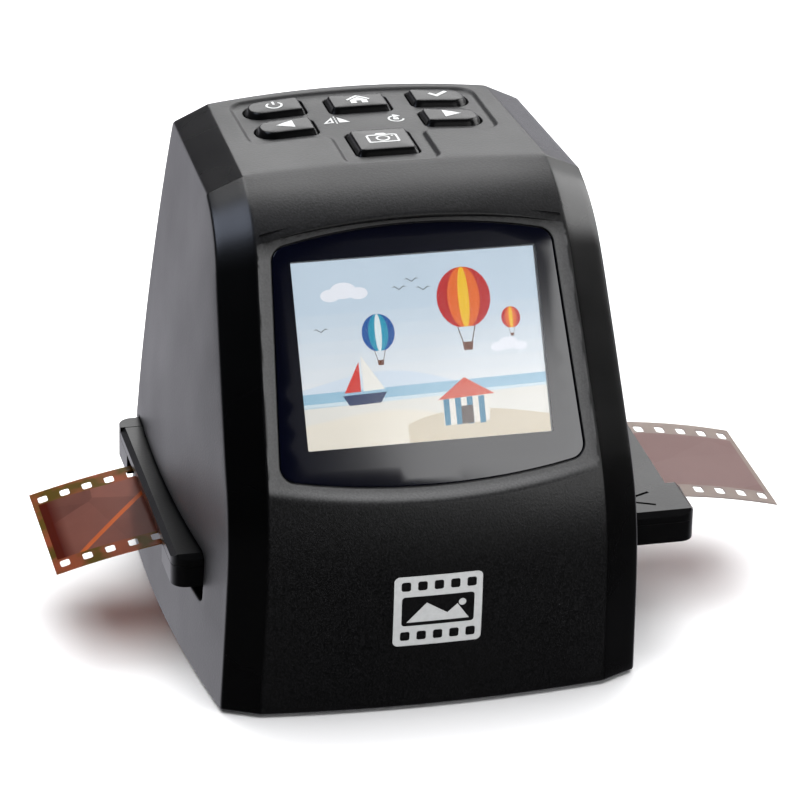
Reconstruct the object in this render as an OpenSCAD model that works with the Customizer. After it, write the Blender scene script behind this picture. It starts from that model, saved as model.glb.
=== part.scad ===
// Compact scanner for 35 mm film negatives, with a feed tray, a sloping display and six buttons.
// Millimetres, +Z up. The origin is the centre of the footprint on the surface it stands on.
// +X is the user's right, and -Y is the front.

/* [Housing] */
// Height of the crease between brow and top panel
body_h = 98; // [94:1:106]
// Depth from the front edge at the foot to the rear face
body_d = 85; // [80:1:92]
// Width across the side panels at the foot of the front
front_w = 84.8; // [80:0.2:92]
// Width of the foot at the rear
rear_w = 91.2; // [88:0.2:98]
// Width that the rear edges lean in to at the top
rear_top_w = 70.8; // [68:0.2:76]
// How far each side panel bulges half way along
side_bulge = 2.3; // [0.5:0.1:4]
// Mean narrowing of the front for each millimetre of height, on each side
side_lean = 0.046; // [0.03:0.002:0.06]
// Wall thickness of the mouldings
wall = 2.2; // [1.8:0.1:2.6]
// Width of the long chamfers, seen from the front
chamfer_w = 7.3; // [5:0.1:9]
// Depth of the long chamfers
chamfer_d = 3.5; // [2:0.1:5]
// Crown of the front across its width
front_crown = 2.2; // [1:0.1:3]
// Crown of the top panel at the crease
crease_crown = 1; // [0.5:0.1:2]
// Crown of the top panel at the rear
rear_crown = 1.9; // [1:0.1:3]
// Slope of the brow where it leaves the crease, in degrees
brow_slope = 20; // [14:1:28]
// Fall of the top panel from the crease to the rear
top_fall = 1.9; // [0:0.1:4]

/* [Display] */
// Lean of the display from the vertical, in degrees
tilt = 30.35; // [26:0.5:34]
// Distance of the display's centre behind the front edge of the foot
display_setback = 17.1; // [15:0.1:19]
// Distance of the display's centre below the crease
display_drop = 28.2; // [27:0.1:30]
// Width of the picture
picture_w = 48.96; // [46:0.1:50]
// Height of the picture
picture_h = 36.72; // [34:0.1:37]
// Thickness of the window
window_t = 0.8; // [0.6:0.1:1]

/* [Buttons] */
// Width of the four outer buttons
outer_key_w = 12.2; // [10:0.1:13]
// Depth of the four outer buttons
outer_key_d = 8.2; // [7.4:0.1:9.4]
// Width of the home and capture buttons
middle_key_w = 12.8; // [10:0.1:14]
// Depth of the capture button
capture_d = 12.4; // [10:0.1:14]
// Height of the caps above the top panel
key_rise = 0.3; // [0.1:0.1:1]
// Travel of the buttons
key_travel = 0.5; // [0.2:0.05:0.5]

/* [Film tray] */
// Length of the tray
tray_l = 108; // [104:1:114]
// Width of the tray
tray_w = 62.8; // [60:0.1:63]
// Height of the tray's base
tray_base_h = 4.4; // [4.2:0.1:4.6]
// Height of the tray's lid
tray_lid_h = 2.5; // [2.2:0.1:2.7]
// Height of the tray's underside above the table
tray_z = 20.5; // [20:0.1:21]

/* [Film] */
// Width of the film
film_w = 34.98; // [34.9:0.01:35.02]
// Thickness of the film
film_t = 0.2; // [0.15:0.05:0.3]
// Pitch of the perforations
pitch = 4.75; // [4.7:0.01:4.8]
// Number of perforations in each row, eight to a frame
perforations = 32; // [28:1:36]

/* [Hidden] */

$fn = 48;
far = 70;              // more than half of anything
eps = 0.01;

// Clearances
running = 0.3;         // beside and above what slides
key_gap = 0.25;        // round each button
drop_in = 0.15;        // round what is laid into a pocket
pin_gap = 0.05;        // radial, round screws and pins

// Places of the housing
foot_gap = 0.6;        // under the housing's rim
centre_shift = 1.5;    // the barrel front adds this much to the footprint's middle
y_front = -body_d / 2 + centre_shift;
y_rear = body_d / 2 + centre_shift;
display_y = y_front + display_setback;
display_z = body_h - display_drop;
crease_lead = 24.8;    // the crease lies this far behind the display's centre
crease_y = display_y + crease_lead;
brow_d = 12.6;         // depth of the brow in front of the crease
belly_out = 1.25;      // the front leans out this far
belly_z = 22;          // up to this height
edge_half = front_w / 2 - chamfer_w;
top_lean = 0.035;      // narrowing of the top panel for each millimetre towards the rear
y_side = y_front + chamfer_d;

// Places along the display's normal
face_lift = 0.8;       // the flat recess lies this far in front of the picture
lip_step = 0.3;        // the brow's lip stands this far in front of the recess
ledge_t = 0.9;         // what carries the window
ledge_gap = 0.6;       // under the window the recess ends in a slope
ledge_slope = 26.6;    // and this is the slope's angle to the display
inner_face = face_lift - window_t - ledge_t;
display_t = 0.15;
lcd_t = 2.5;
bracket_t = 1.4;
lcd_front = inner_face - 0.2;
lcd_back = lcd_front - lcd_t;
lcd_size = [57, 42.4];
bracket_half = 35;
bracket_screw = [32.2, 13];

// Outline of the top
crease = [crease_y, body_h];
up_screen = [sin(tilt), cos(tilt)];
out_screen = [-cos(tilt), sin(tilt)];
face_point = [display_y, display_z] + (face_lift + lip_step) * out_screen;

function unit(v) = v / norm(v);
function mix(a, b, t) = a + (b - a) * t;
function clamp01(t) = min(1, max(0, t));
function turned(v) = [-v[1], v[0]];
// Where the line through p along d meets the line through q along e
function meet(p, d, q, e) =
    let (across = d[0] * e[1] - d[1] * e[0])
    p + d * ((q[0] - p[0]) * e[1] - (q[1] - p[1]) * e[0]) / across;
// Angle of an outward normal, from just under the front round to the rear
function heading(n) = let (g = atan2(n[1], n[0])) g < -90 ? g + 360 : g;
// Points and outward normals of the round corner at b, on the way from a to c
function corner(a, b, c, r, steps) =
    let (n1 = turned(unit(b - a)), n2 = turned(unit(c - b)),
         from = heading(n1), to = heading(n2),
         centre = b - unit(n1 + n2) * r / cos((from - to) / 2))
    [for (k = [0 : steps]) let (g = mix(from, to, k / steps), n = [cos(g), sin(g)]) [centre + r * n, n]];

// Side view of the housing's edge, from the foot of the front over the top to the heel.
function stations(low, back) =
    let (foot = [y_front, low],
         belly = [y_front - belly_out, belly_z],
         knee = meet(belly, [0, 1], face_point, up_screen),
         brow = meet(face_point, up_screen, crease, [cos(brow_slope), sin(brow_slope)]),
         fall = [y_rear - crease_y, -top_fall],
         rear_top = crease + fall * (1 + back / fall[0]),
         heel = [y_rear + back, low])
    concat([[foot, turned(unit(belly - foot))]],
        corner(foot, belly, knee, 150, 2),
        corner(belly, knee, brow, 42, 5),
        corner(knee, brow, crease, 26, 6),
        corner(brow, crease, rear_top, 3, 2),
        corner(crease, rear_top, heel, 1.5, 2),
        [[heel, [1, 0]]]);

// Narrowing of each side up to a height: slow at the foot, faster at the top
function lean_in(z) = side_lean * z * (1 + z / body_h) / 2;
function edge_x(y, z) = edge_half - lean_in(z) - top_lean * max(0, y - crease_y);
function crown(y) =
    let (brow_y = crease_y - brow_d)
    y < brow_y ? front_crown
    : y < crease_y ? mix(front_crown, crease_crown, (y - brow_y) / brow_d)
    : mix(crease_crown, rear_crown, (y - crease_y) / (y_rear - crease_y));
function side_x(y, z) =
    let (t = clamp01((y - y_side) / (y_rear - y_side)), u = z / body_h,
         front = front_w / 2 - lean_in(z),
         rear = mix(rear_w, rear_top_w, 0.3 * u + 0.7 * u * u) / 2)
    mix(front, rear, t) + side_bulge * (1 - u * u) * 4 * t * (1 - t);

// Points on the housing's skin, moved in by inset
function skin(inset, low, back) =
    concat(
        [for (s = stations(low, back)) let (p = s[0], n = s[1], x = edge_x(p[0], p[1]) - 0.23 * inset)
            for (j = [-4 : 4])
                let (rise = crown(p[0]) * (1 - j * j / 16) * [min(n[0], 0), n[1]], q = p + rise - inset * n)
                [x * j / 4, q[0], q[1]]],
        [for (s = stations(low, back)) let (p = s[0], n = s[1], q = p - (chamfer_d + 0.62 * inset) * n)
            for (side = [-1, 1]) if (n[0] < 0.5)
                [side * (edge_x(p[0], p[1]) + chamfer_w - inset), q[0], max(q[1], low)]],
        [for (t = [0.3, 0.5, 0.75, 1]) for (z = [low, 20, 40, 58, 74, 88]) for (side = [-1, 1])
            let (y = mix(y_side, y_rear, t)) if (z < body_h - 6 + 1.15 * min(0, y - crease_y))
                [side * (side_x(y, z) - inset), y + (t == 1 ? back - (back > 0 ? 0 : max(0, inset)) : 0), z]]);

module form(inset = 0, low = foot_gap, back = 0) {
    points = skin(inset, low, back);
    hull() polyhedron(points, [[for (i = [0 : len(points) - 1]) i]]);
}

// The display's own frame: X across, Y up its slope, Z out of it
module on_display() {
    translate([0, display_y, display_z]) rotate([90 - tilt, 0, 0]) children();
}

// A block from lowest corner to highest corner
module block(a, b) {
    translate(a) cube(b - a);
}

// A flat slab with round corners in plan
module slab(a, b, r) {
    block([a[0] + r, a[1], a[2]], [b[0] - r, b[1], b[2]]);
    block([a[0], a[1] + r, a[2]], [b[0], b[1] - r, b[2]]);
    for (x = [a[0] + r, b[0] - r]) for (y = [a[1] + r, b[1] - r])
        translate([x, y, a[2]]) cylinder(r = r, h = b[2] - a[2]);
}

module both_sides() {
    children();
    mirror([1, 0, 0]) children();
}

// Screws: head below the seat, shank going up from it
module screw(head_r, head_h, shank_r, shank_l) {
    translate([0, 0, -head_h]) cylinder(r = head_r, h = head_h);
    translate([0, 0, -eps]) cylinder(r = shank_r, h = shank_l + eps);
}
module screw_hole(shank_r, shank_l) {
    translate([0, 0, -eps]) cylinder(r = shank_r + pin_gap, h = shank_l + 0.5 + eps);
}

// Heights from the table up
board_t = 1.6;         // thickness of the circuit boards
base_z = foot_gap + 0.2;
plate_t = 2.2;
base_top = base_z + plate_t;
lid_gap = 0.1;
tray_top = tray_z + tray_base_h + lid_gap + tray_lid_h;
frame_t = 2;
frame_z = tray_top + 1.9;
frame_top = frame_z + frame_t;
hood_h = 16.6;
hood_top = frame_top + hood_h;

// Heights from the crease down
key_board_top = body_h - 11;
switch_h = 3.5;
plunger_h = 0.8;
switch_top = key_board_top + switch_h + plunger_h;
flange_z = body_h - 5.2;
main_z = body_h - 28;
main_top = main_z + board_t;
sensor_gap = 6.8;      // between the sensor's board and the main board
sensor_t = 1.2;
sensor_top = main_z - sensor_gap;
holder_top = sensor_top - sensor_t;

// Places from front to rear
cover_y = y_rear - wall;
tray_rear = cover_y - 1.2;
tray_y = tray_rear - tray_w / 2;
tray_front = tray_rear - tray_w;
main_front = crease_y - 2.9;

// Screws: head radius, head height, shank radius, shank length
case_screw = [2.1, 1.1, 1.2, 6];
board_screw = [1.8, 1, 0.9, 4.2];
base_lug = [36.6, y_side + 9.5];
heel_lug = [37.6, cover_y - 9];
frame_lugs = [[35, tray_front - 1.8], [35, cover_y - 9]];
main_lugs = [[31.8, crease_y + 4], [31.8, cover_y - 7]];
cover_low_z = base_top + 7;
cover_high_z = main_top + 8.4;
key_lugs = [[28.5, crease_y + 7], [28.5, cover_y - 7]];

// Buttons: centre, width, depth, radii of the left and right ends
outer_x = 17.15;
round_end = outer_key_d / 2 - 0.3;
square_end = 1.2;
row_gap = 3.2;          // between the two rows of outer buttons
power_y = cover_y - 6.2;
arrow_y = power_y - outer_key_d - row_gap;
home_y = cover_y - 7.6;
home_d = 8.4;
capture_y = crease_y + 5 + capture_d / 2;
power_key = [-outer_x, power_y, outer_key_w, outer_key_d, round_end, square_end];
ok_key = [outer_x, power_y, outer_key_w, outer_key_d, square_end, round_end];
left_key = [-outer_x, arrow_y, outer_key_w, outer_key_d, round_end, square_end];
right_key = [outer_x, arrow_y, outer_key_w, outer_key_d, square_end, round_end];
home_key = [0, home_y, middle_key_w, home_d, square_end, square_end];
capture_key = [0, capture_y, middle_key_w, capture_d, square_end, square_end];
keys = [power_key, ok_key, left_key, right_key, home_key, capture_key];
flange = 0.6;
island_depth = 0.7;
island_edge = 2;       // between the outer buttons and the island's edge
island_front = [2.6, 4.2];  // the same in front of the arrow and capture buttons

function quarter(x, y, r, from) = [for (k = [0 : 4]) [x + r * cos(from + k * 22.5), y + r * sin(from + k * 22.5)]];
function key_points(w, d, left, right) =
    concat(quarter(w / 2 - right, d / 2 - right, right, 0), quarter(left - w / 2, d / 2 - left, left, 90),
        quarter(left - w / 2, left - d / 2, left, 180), quarter(w / 2 - right, right - d / 2, right, 270));

// A prism of a button's outline, grown all round
module key_prism(key, grow, z0, z1) {
    translate([key[0], key[1], z0]) linear_extrude(z1 - z0)
        polygon(key_points(key[2] + 2 * grow, key[3] + 2 * grow, key[4] + grow, key[5] + grow));
}

// Housing

module side_lug(x0, y0, y1, z0, z1) {
    block([x0, y0, z0], [far, y1, z1]);
}

module side_lugs() {
    both_sides() {
        side_lug(33.4, base_lug[1] - 3.5, base_lug[1] + 3.5, base_top, base_top + 9);
        side_lug(33.6, heel_lug[1] - 3.5, cover_y, base_top, base_top + 11);
        for (p = frame_lugs) side_lug(p[0] - 3.6, p[1] - 3.5, p[1] + 3.5, frame_top, frame_top + 6);
        side_lug(main_lugs[0][0] - 2.8, main_lugs[0][1] - 3.5, main_lugs[0][1] + 3.5, main_top, main_top + 6);
        side_lug(main_lugs[1][0] - 2.8, main_lugs[1][1] - 3.5, cover_y, main_top, cover_high_z + 3.5);
        for (p = key_lugs) translate([p[0], p[1], key_board_top]) cylinder(r = 2.5, h = 12);
    }
}

module lug_holes() {
    both_sides() {
        for (p = [base_lug, heel_lug]) translate([p[0], p[1], base_top]) screw_hole(case_screw[2], 5);
        for (p = frame_lugs) translate([p[0], p[1], frame_top]) screw_hole(case_screw[2], 4);
        for (p = main_lugs) translate([p[0], p[1], main_top]) screw_hole(board_screw[2], 4);
        for (p = key_lugs) translate([p[0], p[1], key_board_top]) screw_hole(board_screw[2], 4);
        for (p = cover_screws()) translate([p[0], cover_y, p[1]]) rotate([90, 0, 0]) screw_hole(case_screw[2], 5);
    }
}
function cover_screws() = [[heel_lug[0], cover_low_z], [32.6, cover_high_z]];

module island() {
    z0 = body_h - 12;
    z1 = body_h + 6;
    side = outer_x + outer_key_w / 2 + island_edge;
    stem = middle_key_w / 2 + island_edge + 0.8;
    slab([-side, arrow_y - outer_key_d / 2 - island_front[0], z0], [side, y_rear - 3, z1], 3);
    slab([-stem, capture_y - capture_d / 2 - island_front[1], z0], [stem, arrow_y, z1], 2.5);
}

// Arc over the window, from one side to the other, as points of the display's frame
function arch(half, mid, sag, steps) =
    let (r = (half * half + sag * sag) / (2 * sag), reach = asin(half / r))
    [for (k = [0 : steps]) let (g = mix(reach, -reach, k / steps)) [r * sin(g), mid - r + r * cos(g)]];

module recess_shape() {
    half = front_w / 2 + 3;
    polygon(concat([[-half, -far], [half, -far]], arch(half, window_top[1] + 0.9, 5.8, 12)));
}

// Arched upper and lower edge of the window: half width, distance from the centre, sag
window_top = [28, 24.3, 3.2];
window_foot = [30.5, 26.9, 3.2];
window_r = 3.2;

// The window narrows upwards, and its upper and lower edges are arched
module window_shape(grow) {
    top = arch(window_top[0], window_top[1], window_top[2], 8);
    bottom = [for (p = arch(window_foot[0], window_foot[1], window_foot[2], 8)) [-p[0], -p[1]]];
    offset(delta = grow) offset(r = window_r) offset(delta = -window_r) polygon(concat(top, bottom));
}

module slots() {
    z0 = tray_z - 2.9;
    z1 = tray_top + 0.9;
    y0 = tray_front - 2;
    y1 = tray_rear + 0.6;
    r = 2;
    for (y = [y0 + r, y1 - r]) for (z = [z0 + r, z1 - r])
        translate([-far, y, z]) rotate([0, 90, 0]) cylinder(r = r, h = 2 * far);
    block([-far, y0 + r, z0], [far, y1 - r, z1]);
    block([-far, y0, z0 + r], [far, y1, z1 - r]);
}

module main_housing() {
    color("#1c1c1e") difference() {
        union() {
            difference() {
                form();
                difference() {
                    form(wall, -5, 6);
                    on_display() block([-far, -far, inner_face], [far, far, far]);
                }
            }
            intersection() {
                form(1);
                union() {
                    side_lugs();
                    on_display() for (x = [-1, 1]) for (y = [-1, 1])
                        translate([x * bracket_screw[0], y * bracket_screw[1], lcd_back]) cylinder(r = 2.4, h = 4);
                }
            }
        }
        on_display() {
            difference() {
                translate([0, 0, face_lift]) linear_extrude(20) recess_shape();
                translate([0, -window_foot[1] - ledge_gap, face_lift]) rotate([-ledge_slope, 0, 0])
                    block([-far, -far, -far], [far, 0, 0]);
            }
            translate([0, 0, face_lift - window_t]) linear_extrude(20) window_shape(drop_in);
            block([-picture_w / 2 - 1, -picture_h / 2 - 1, -5], [picture_w / 2 + 1, picture_h / 2 + 1, 5]);
            for (x = [-1, 1]) for (y = [-1, 1])
                translate([x * bracket_screw[0], y * bracket_screw[1], lcd_back]) screw_hole(board_screw[2], 2.6);
        }
        difference() {
            island();
            form(island_depth);
        }
        for (key = keys) key_prism(key, key_gap, flange_z, body_h + 6);
        slots();
        lug_holes();
    }
}

module rear_cover() {
    color("#1c1c1e") difference() {
        union() {
            intersection() {
                form(wall + 0.2, -5, 6);
                block([-far, cover_y, base_z], [far, y_rear, 2 * far]);
            }
            block([-36, tray_rear + running, tray_z + 0.5], [36, cover_y + eps, tray_z + 6]);
        }
        translate([card_x, 0, card_z]) cube([card[0] + 1, far * 2, card[2] + 0.8], center = true);
        translate([usb_x, 0, usb_z])
            cube([usb[0] + 2 * usb_wall + 0.8, far * 2, usb[2] + 2 * usb_wall + 0.6], center = true);
        translate([jack_x, 0, jack_z]) rotate([-90, 0, 0]) cylinder(r = jack_r + 0.3, h = far);
        both_sides() for (p = cover_screws()) translate([p[0], 0, p[1]]) rotate([-90, 0, 0]) {
            cylinder(r = case_screw[2] + 0.1, h = far);
            translate([0, 0, y_rear - 1.2]) cylinder(r = case_screw[0] + 0.2, h = 5);
        }
    }
}

module rear_screws() {
    color("silver") both_sides() for (p = cover_screws())
        translate([p[0], y_rear - 1.2, p[1]]) rotate([90, 0, 0])
            screw(case_screw[0], case_screw[1], case_screw[2], case_screw[3]);
}

foot_r = 4.5;
feet = [[28, y_side + 6.5], [30, cover_y - 9]];

module base_plate() {
    color("#202022") difference() {
        intersection() {
            form(wall + 0.2, -5, 6);
            block([-far, -far, base_z], [far, cover_y - 0.2, base_top]);
        }
        both_sides() {
            for (p = feet) translate([p[0], p[1], base_z - 1]) cylinder(r = foot_r + 0.1, h = 1.8);
            for (p = [base_lug, heel_lug]) translate([p[0], p[1], base_z - 1]) {
                cylinder(r = case_screw[0] + 0.2, h = 2.2);
                cylinder(r = case_screw[2] + 0.1, h = 5);
            }
        }
    }
}

module base_screws() {
    color("silver") both_sides() for (p = [base_lug, heel_lug])
        translate([p[0], p[1], base_z + 1.2]) screw(case_screw[0], case_screw[1], case_screw[2], case_screw[3]);
}

module rubber_feet() {
    color("#2b2b2b") both_sides() for (p = feet) translate([p[0], p[1], 0]) cylinder(r = foot_r, h = base_z + 0.8);
}

// Display

module screen_window() {
    color([0.05, 0.06, 0.1, 0.6]) on_display() translate([0, 0, face_lift - window_t])
        linear_extrude(window_t - 0.1) window_shape(0);
}

module display() {
    color("lightblue") on_display()
        block([-picture_w / 2, -picture_h / 2, lcd_front], [picture_w / 2, picture_h / 2, lcd_front + display_t]);
}

module lcd_panel() {
    color("gainsboro") on_display()
        block([-lcd_size[0] / 2, -lcd_size[1] / 2, lcd_back], [lcd_size[0] / 2, lcd_size[1] / 2, lcd_front]);
}

module lcd_bracket() {
    color("silver") on_display() difference() {
        block([-bracket_half, -17, lcd_back - bracket_t], [bracket_half, 20, lcd_back]);
        block([-16, -9, lcd_back - 5], [16, 11, lcd_back + 1]);
        for (x = [-1, 1]) for (y = [-1, 1]) translate([x * bracket_screw[0], y * bracket_screw[1], lcd_back - 5])
            cylinder(r = board_screw[2] + 0.1, h = 8);
    }
}

module lcd_screws() {
    color("silver") on_display() for (x = [-1, 1]) for (y = [-1, 1])
        translate([x * bracket_screw[0], y * bracket_screw[1], lcd_back - bracket_t])
            screw(board_screw[0], board_screw[1], board_screw[2], board_screw[3]);
}

// A flat cable: a band along one curve, seen from the side
function bezier(a, b, c, d, t) =
    pow(1 - t, 3) * a + 3 * pow(1 - t, 2) * t * b + 3 * (1 - t) * t * t * c + pow(t, 3) * d;
function slope(a, b, c, d, t) =
    unit(3 * pow(1 - t, 2) * (b - a) + 6 * (1 - t) * t * (c - b) + 3 * t * t * (d - c));
function band(a, b, c, d, half, steps) =
    concat([for (k = [0 : steps]) bezier(a, b, c, d, k / steps) + half * turned(slope(a, b, c, d, k / steps))],
        [for (k = [steps : -1 : 0]) bezier(a, b, c, d, k / steps) - half * turned(slope(a, b, c, d, k / steps))]);

module flat_cable(points, width) {
    rotate([90, 0, 90]) translate([0, 0, -width / 2]) linear_extrude(width) polygon(points);
}

cable_t = 0.3;

module display_flex() {
    start = [display_y, display_z] - lcd_size[1] / 2 * up_screen + (lcd_front - 1.2) * out_screen;
    end = [main_front - 0.1, main_top + cable_t / 2];
    width = 12;
    color("#b5793a") {
        flat_cable(band(start, start - 22 * up_screen, end - [11, 0], end, cable_t / 2, 20), width);
        block([-width / 2, end[0] - eps, main_top], [width / 2, main_front + 1.8, main_top + cable_t]);
    }
}

module sensor_flex() {
    start = [tray_y + 8, sensor_top + cable_t / 2];
    end = [tray_y + 22, main_z - cable_t / 2];
    color("#b5793a") flat_cable(band(start, start + [14, 0], end - [14, 0], end, cable_t / 2, 16), 9);
}

// Buttons
stem_r = 1.6;

module button(key) {
    color("#111113") {
        intersection() {
            key_prism(key, 0, flange_z, body_h + 8);
            form(-key_rise);
        }
        intersection() {
            key_prism(key, flange, flange_z, body_h + 8);
            form(wall + drop_in);
        }
        stem_z = switch_top + key_travel + 0.1;
        translate([key[0], key[1], stem_z]) cylinder(r = stem_r, h = flange_z - stem_z + 1);
    }
}

module power_button() { button(power_key); }
module home_button() { button(home_key); }
module ok_button() { button(ok_key); }
module left_button() { button(left_key); }
module right_button() { button(right_key); }
module capture_button() { button(capture_key); }

module button_board() {
    half = key_lugs[0][0] + 3;
    color("darkgreen") difference() {
        block([-half, crease_y + 1.5, key_board_top - board_t], [half, cover_y - 1.3, key_board_top]);
        both_sides() for (p = key_lugs) translate([p[0], p[1], key_board_top - 5]) cylinder(r = 1, h = 8);
    }
}

switch_half = 3;
plunger_r = 1.7;

module tact_switches() {
    for (key = keys) translate([key[0], key[1], key_board_top]) {
        color("silver") block([-switch_half, -switch_half, 0], [switch_half, switch_half, switch_h]);
        color("#111113") cylinder(r = plunger_r, h = switch_h + plunger_h);
    }
}

module button_board_screws() {
    color("silver") both_sides() for (p = key_lugs) translate([p[0], p[1], key_board_top - board_t])
        screw(board_screw[0], board_screw[1], board_screw[2], board_screw[3]);
}

// Main board and its sockets
main_half = 34.5;
socket_y = cover_y - 0.2;
mouth_y = y_rear - 0.4;
card = [24.4, 27, 2.4];        // the card's slot: width, depth, height
card_wall = 1.4;
card_x = 14;
card_floor = 0.6;
card_z = main_top + card_floor + card[2] / 2;
usb = [7, 4.6, 2.2];           // the plug's opening: width, depth, height
usb_wall = 0.5;
usb_x = -8;
usb_z = main_top + usb_wall + usb[2] / 2;
jack_x = -20;
jack_r = 3.2;
jack_bore_r = 1.8;
jack_l = 12;
jack_z = main_top + jack_r;
chip_size = [13, 13, 1.4];
chip_at = [-19, crease_y + 5.1];
memory_size = [7, 10, 1];
memory_at = [-29, crease_y + 8.1];
driver_size = [8, 6, 1.2];
driver_at = [2, crease_y + 2.1];
connector_size = [16, 2.6, 1.2];
can_r = 2.4;
can_h = 5.2;
can_x = -26;

module main_board() {
    color("darkgreen") difference() {
        block([-main_half, main_front, main_z], [main_half, cover_y - 0.4, main_top]);
        both_sides() for (p = main_lugs) translate([p[0], p[1], main_z - 2])
            cylinder(r = board_screw[2] + 0.1, h = board_t + 4);
    }
}

module on_board(at) {
    translate([at[0], at[1], main_top]) children();
}

module main_chips() {
    color("#222") {
        on_board(chip_at) cube(chip_size);
        on_board(memory_at) cube(memory_size);
        on_board(driver_at) cube(driver_size);
    }
    color("ivory") on_board([-connector_size[0] / 2, main_front + 1.8]) cube(connector_size);
    color("silver") for (k = [0, 1]) on_board([can_x, cover_y - 19.8 + k * (2 * can_r + 1.2)])
        cylinder(r = can_r, h = can_h);
}

module card_socket() {
    half = card[0] / 2;
    color("silver") difference() {
        block([card_x - half - card_wall, socket_y - card[1] - 1, main_top],
            [card_x + half + card_wall, socket_y, main_top + card[2] + 2 * card_floor - 0.2]);
        block([card_x - half, socket_y - card[1], main_top + card_floor],
            [card_x + half, far, main_top + card_floor + card[2]]);
    }
}

module usb_socket() {
    half = usb[0] / 2;
    tongue_t = 0.6;
    color("silver") {
        difference() {
            block([usb_x - half - usb_wall, socket_y - usb[1] - 1, main_top],
                [usb_x + half + usb_wall, mouth_y, main_top + usb[2] + 2 * usb_wall]);
            block([usb_x - half, socket_y - usb[1], main_top + usb_wall],
                [usb_x + half, far, main_top + usb_wall + usb[2]]);
        }
        block([usb_x - half + 0.9, socket_y - usb[1] - 0.2, usb_z - tongue_t / 2],
            [usb_x + half - 0.9, mouth_y - 1, usb_z + tongue_t / 2]);
    }
}

module video_jack() {
    color("#111113") difference() {
        union() {
            block([jack_x - jack_r - 0.3, socket_y - jack_l, main_top],
                [jack_x + jack_r + 0.3, socket_y, main_top + 2 * jack_r]);
            translate([jack_x, socket_y - 1, jack_z]) rotate([-90, 0, 0])
                cylinder(r = jack_r, h = mouth_y - socket_y + 1);
        }
        translate([jack_x, socket_y - jack_l + 1, jack_z]) rotate([-90, 0, 0]) cylinder(r = jack_bore_r, h = far);
    }
}

module main_board_screws() {
    color("silver") both_sides() for (p = main_lugs) translate([p[0], p[1], main_z])
        screw(board_screw[0], board_screw[1], board_screw[2], board_screw[3]);
}

// Optics above the film
frame_half = 38;
rib_t = 3;

module middle_frame() {
    color("#2a2a2c") difference() {
        union() {
            block([-frame_half, y_side + 3.5, frame_z], [frame_half, cover_y - 0.4, frame_top]);
            for (y = [tray_front + 1.7, tray_rear - 2.1 - rib_t])
                block([-frame_half, y, tray_top + running], [frame_half, y + rib_t, frame_z + eps]);
        }
        block([-light_hole[0], tray_y - light_hole[1], 0], [light_hole[0], tray_y + light_hole[1], far]);
        both_sides() for (p = frame_lugs) translate([p[0], p[1], frame_z - 3]) cylinder(r = case_screw[2] + 0.1, h = 8);
    }
}

module middle_frame_screws() {
    color("silver") both_sides() for (p = frame_lugs) translate([p[0], p[1], frame_z])
        screw(case_screw[0], case_screw[1], case_screw[2], case_screw[3]);
}

hood_half = [23, 18];
hood_wall = 2;
holder_r = 8;
holder_half = 12;
barrel_r = 6;
barrel_z = hood_top - 3.6;
sensor_half = 14;
light_hole = [20, 14];     // half the frame's window over one picture

module light_hood() {
    color("#2a2a2c") difference() {
        block([-hood_half[0], tray_y - hood_half[1], frame_top], [hood_half[0], tray_y + hood_half[1], hood_top]);
        block([hood_wall - hood_half[0], tray_y + hood_wall - hood_half[1], frame_top - 1],
            [hood_half[0] - hood_wall, tray_y + hood_half[1] - hood_wall, hood_top - hood_wall]);
        translate([0, tray_y, hood_top - 3]) cylinder(r = barrel_r + 1, h = 5);
    }
}

module lens_holder() {
    color("#161618") translate([0, tray_y, hood_top]) difference() {
        union() {
            block([-holder_half, -holder_half, 0], [holder_half, holder_half, 2]);
            cylinder(r = holder_r, h = holder_top - hood_top);
        }
        translate([0, 0, -1]) cylinder(r = barrel_r + pin_gap, h = holder_top - hood_top + 2);
    }
}

module lens_barrel() {
    color("#161618") translate([0, tray_y, barrel_z]) difference() {
        cylinder(r = barrel_r, h = holder_top - 2 - barrel_z);
        translate([0, 0, -1]) cylinder(r = 5, h = 3.8);
        translate([0, 0, -1]) cylinder(r = 3.4, h = far);
    }
}

module lens_glass() {
    color([0.6, 0.75, 0.8, 0.5]) translate([0, tray_y, barrel_z + 0.7]) intersection() {
        cylinder(r = 4.9, h = 2.1);
        translate([0, 0, 12]) sphere(r = 12);
    }
}

module sensor_board() {
    color("darkgreen") block([-sensor_half, tray_y - sensor_half, holder_top],
        [sensor_half, tray_y + sensor_half, sensor_top]);
}

module image_sensor() {
    color("#445") block([-4, tray_y - 3.5, holder_top - 1], [4, tray_y + 3.5, holder_top]);
}

// Light under the film

floor_top = base_top + 2;
box_half = [26, 21];
box_top = tray_z - 3;

chassis_half = 32.8;
box_wall = 2;
led_board_half = [23, 18];
led_size = [3.5, 2.8, 0.8];
led_step = [10, 11];

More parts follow.
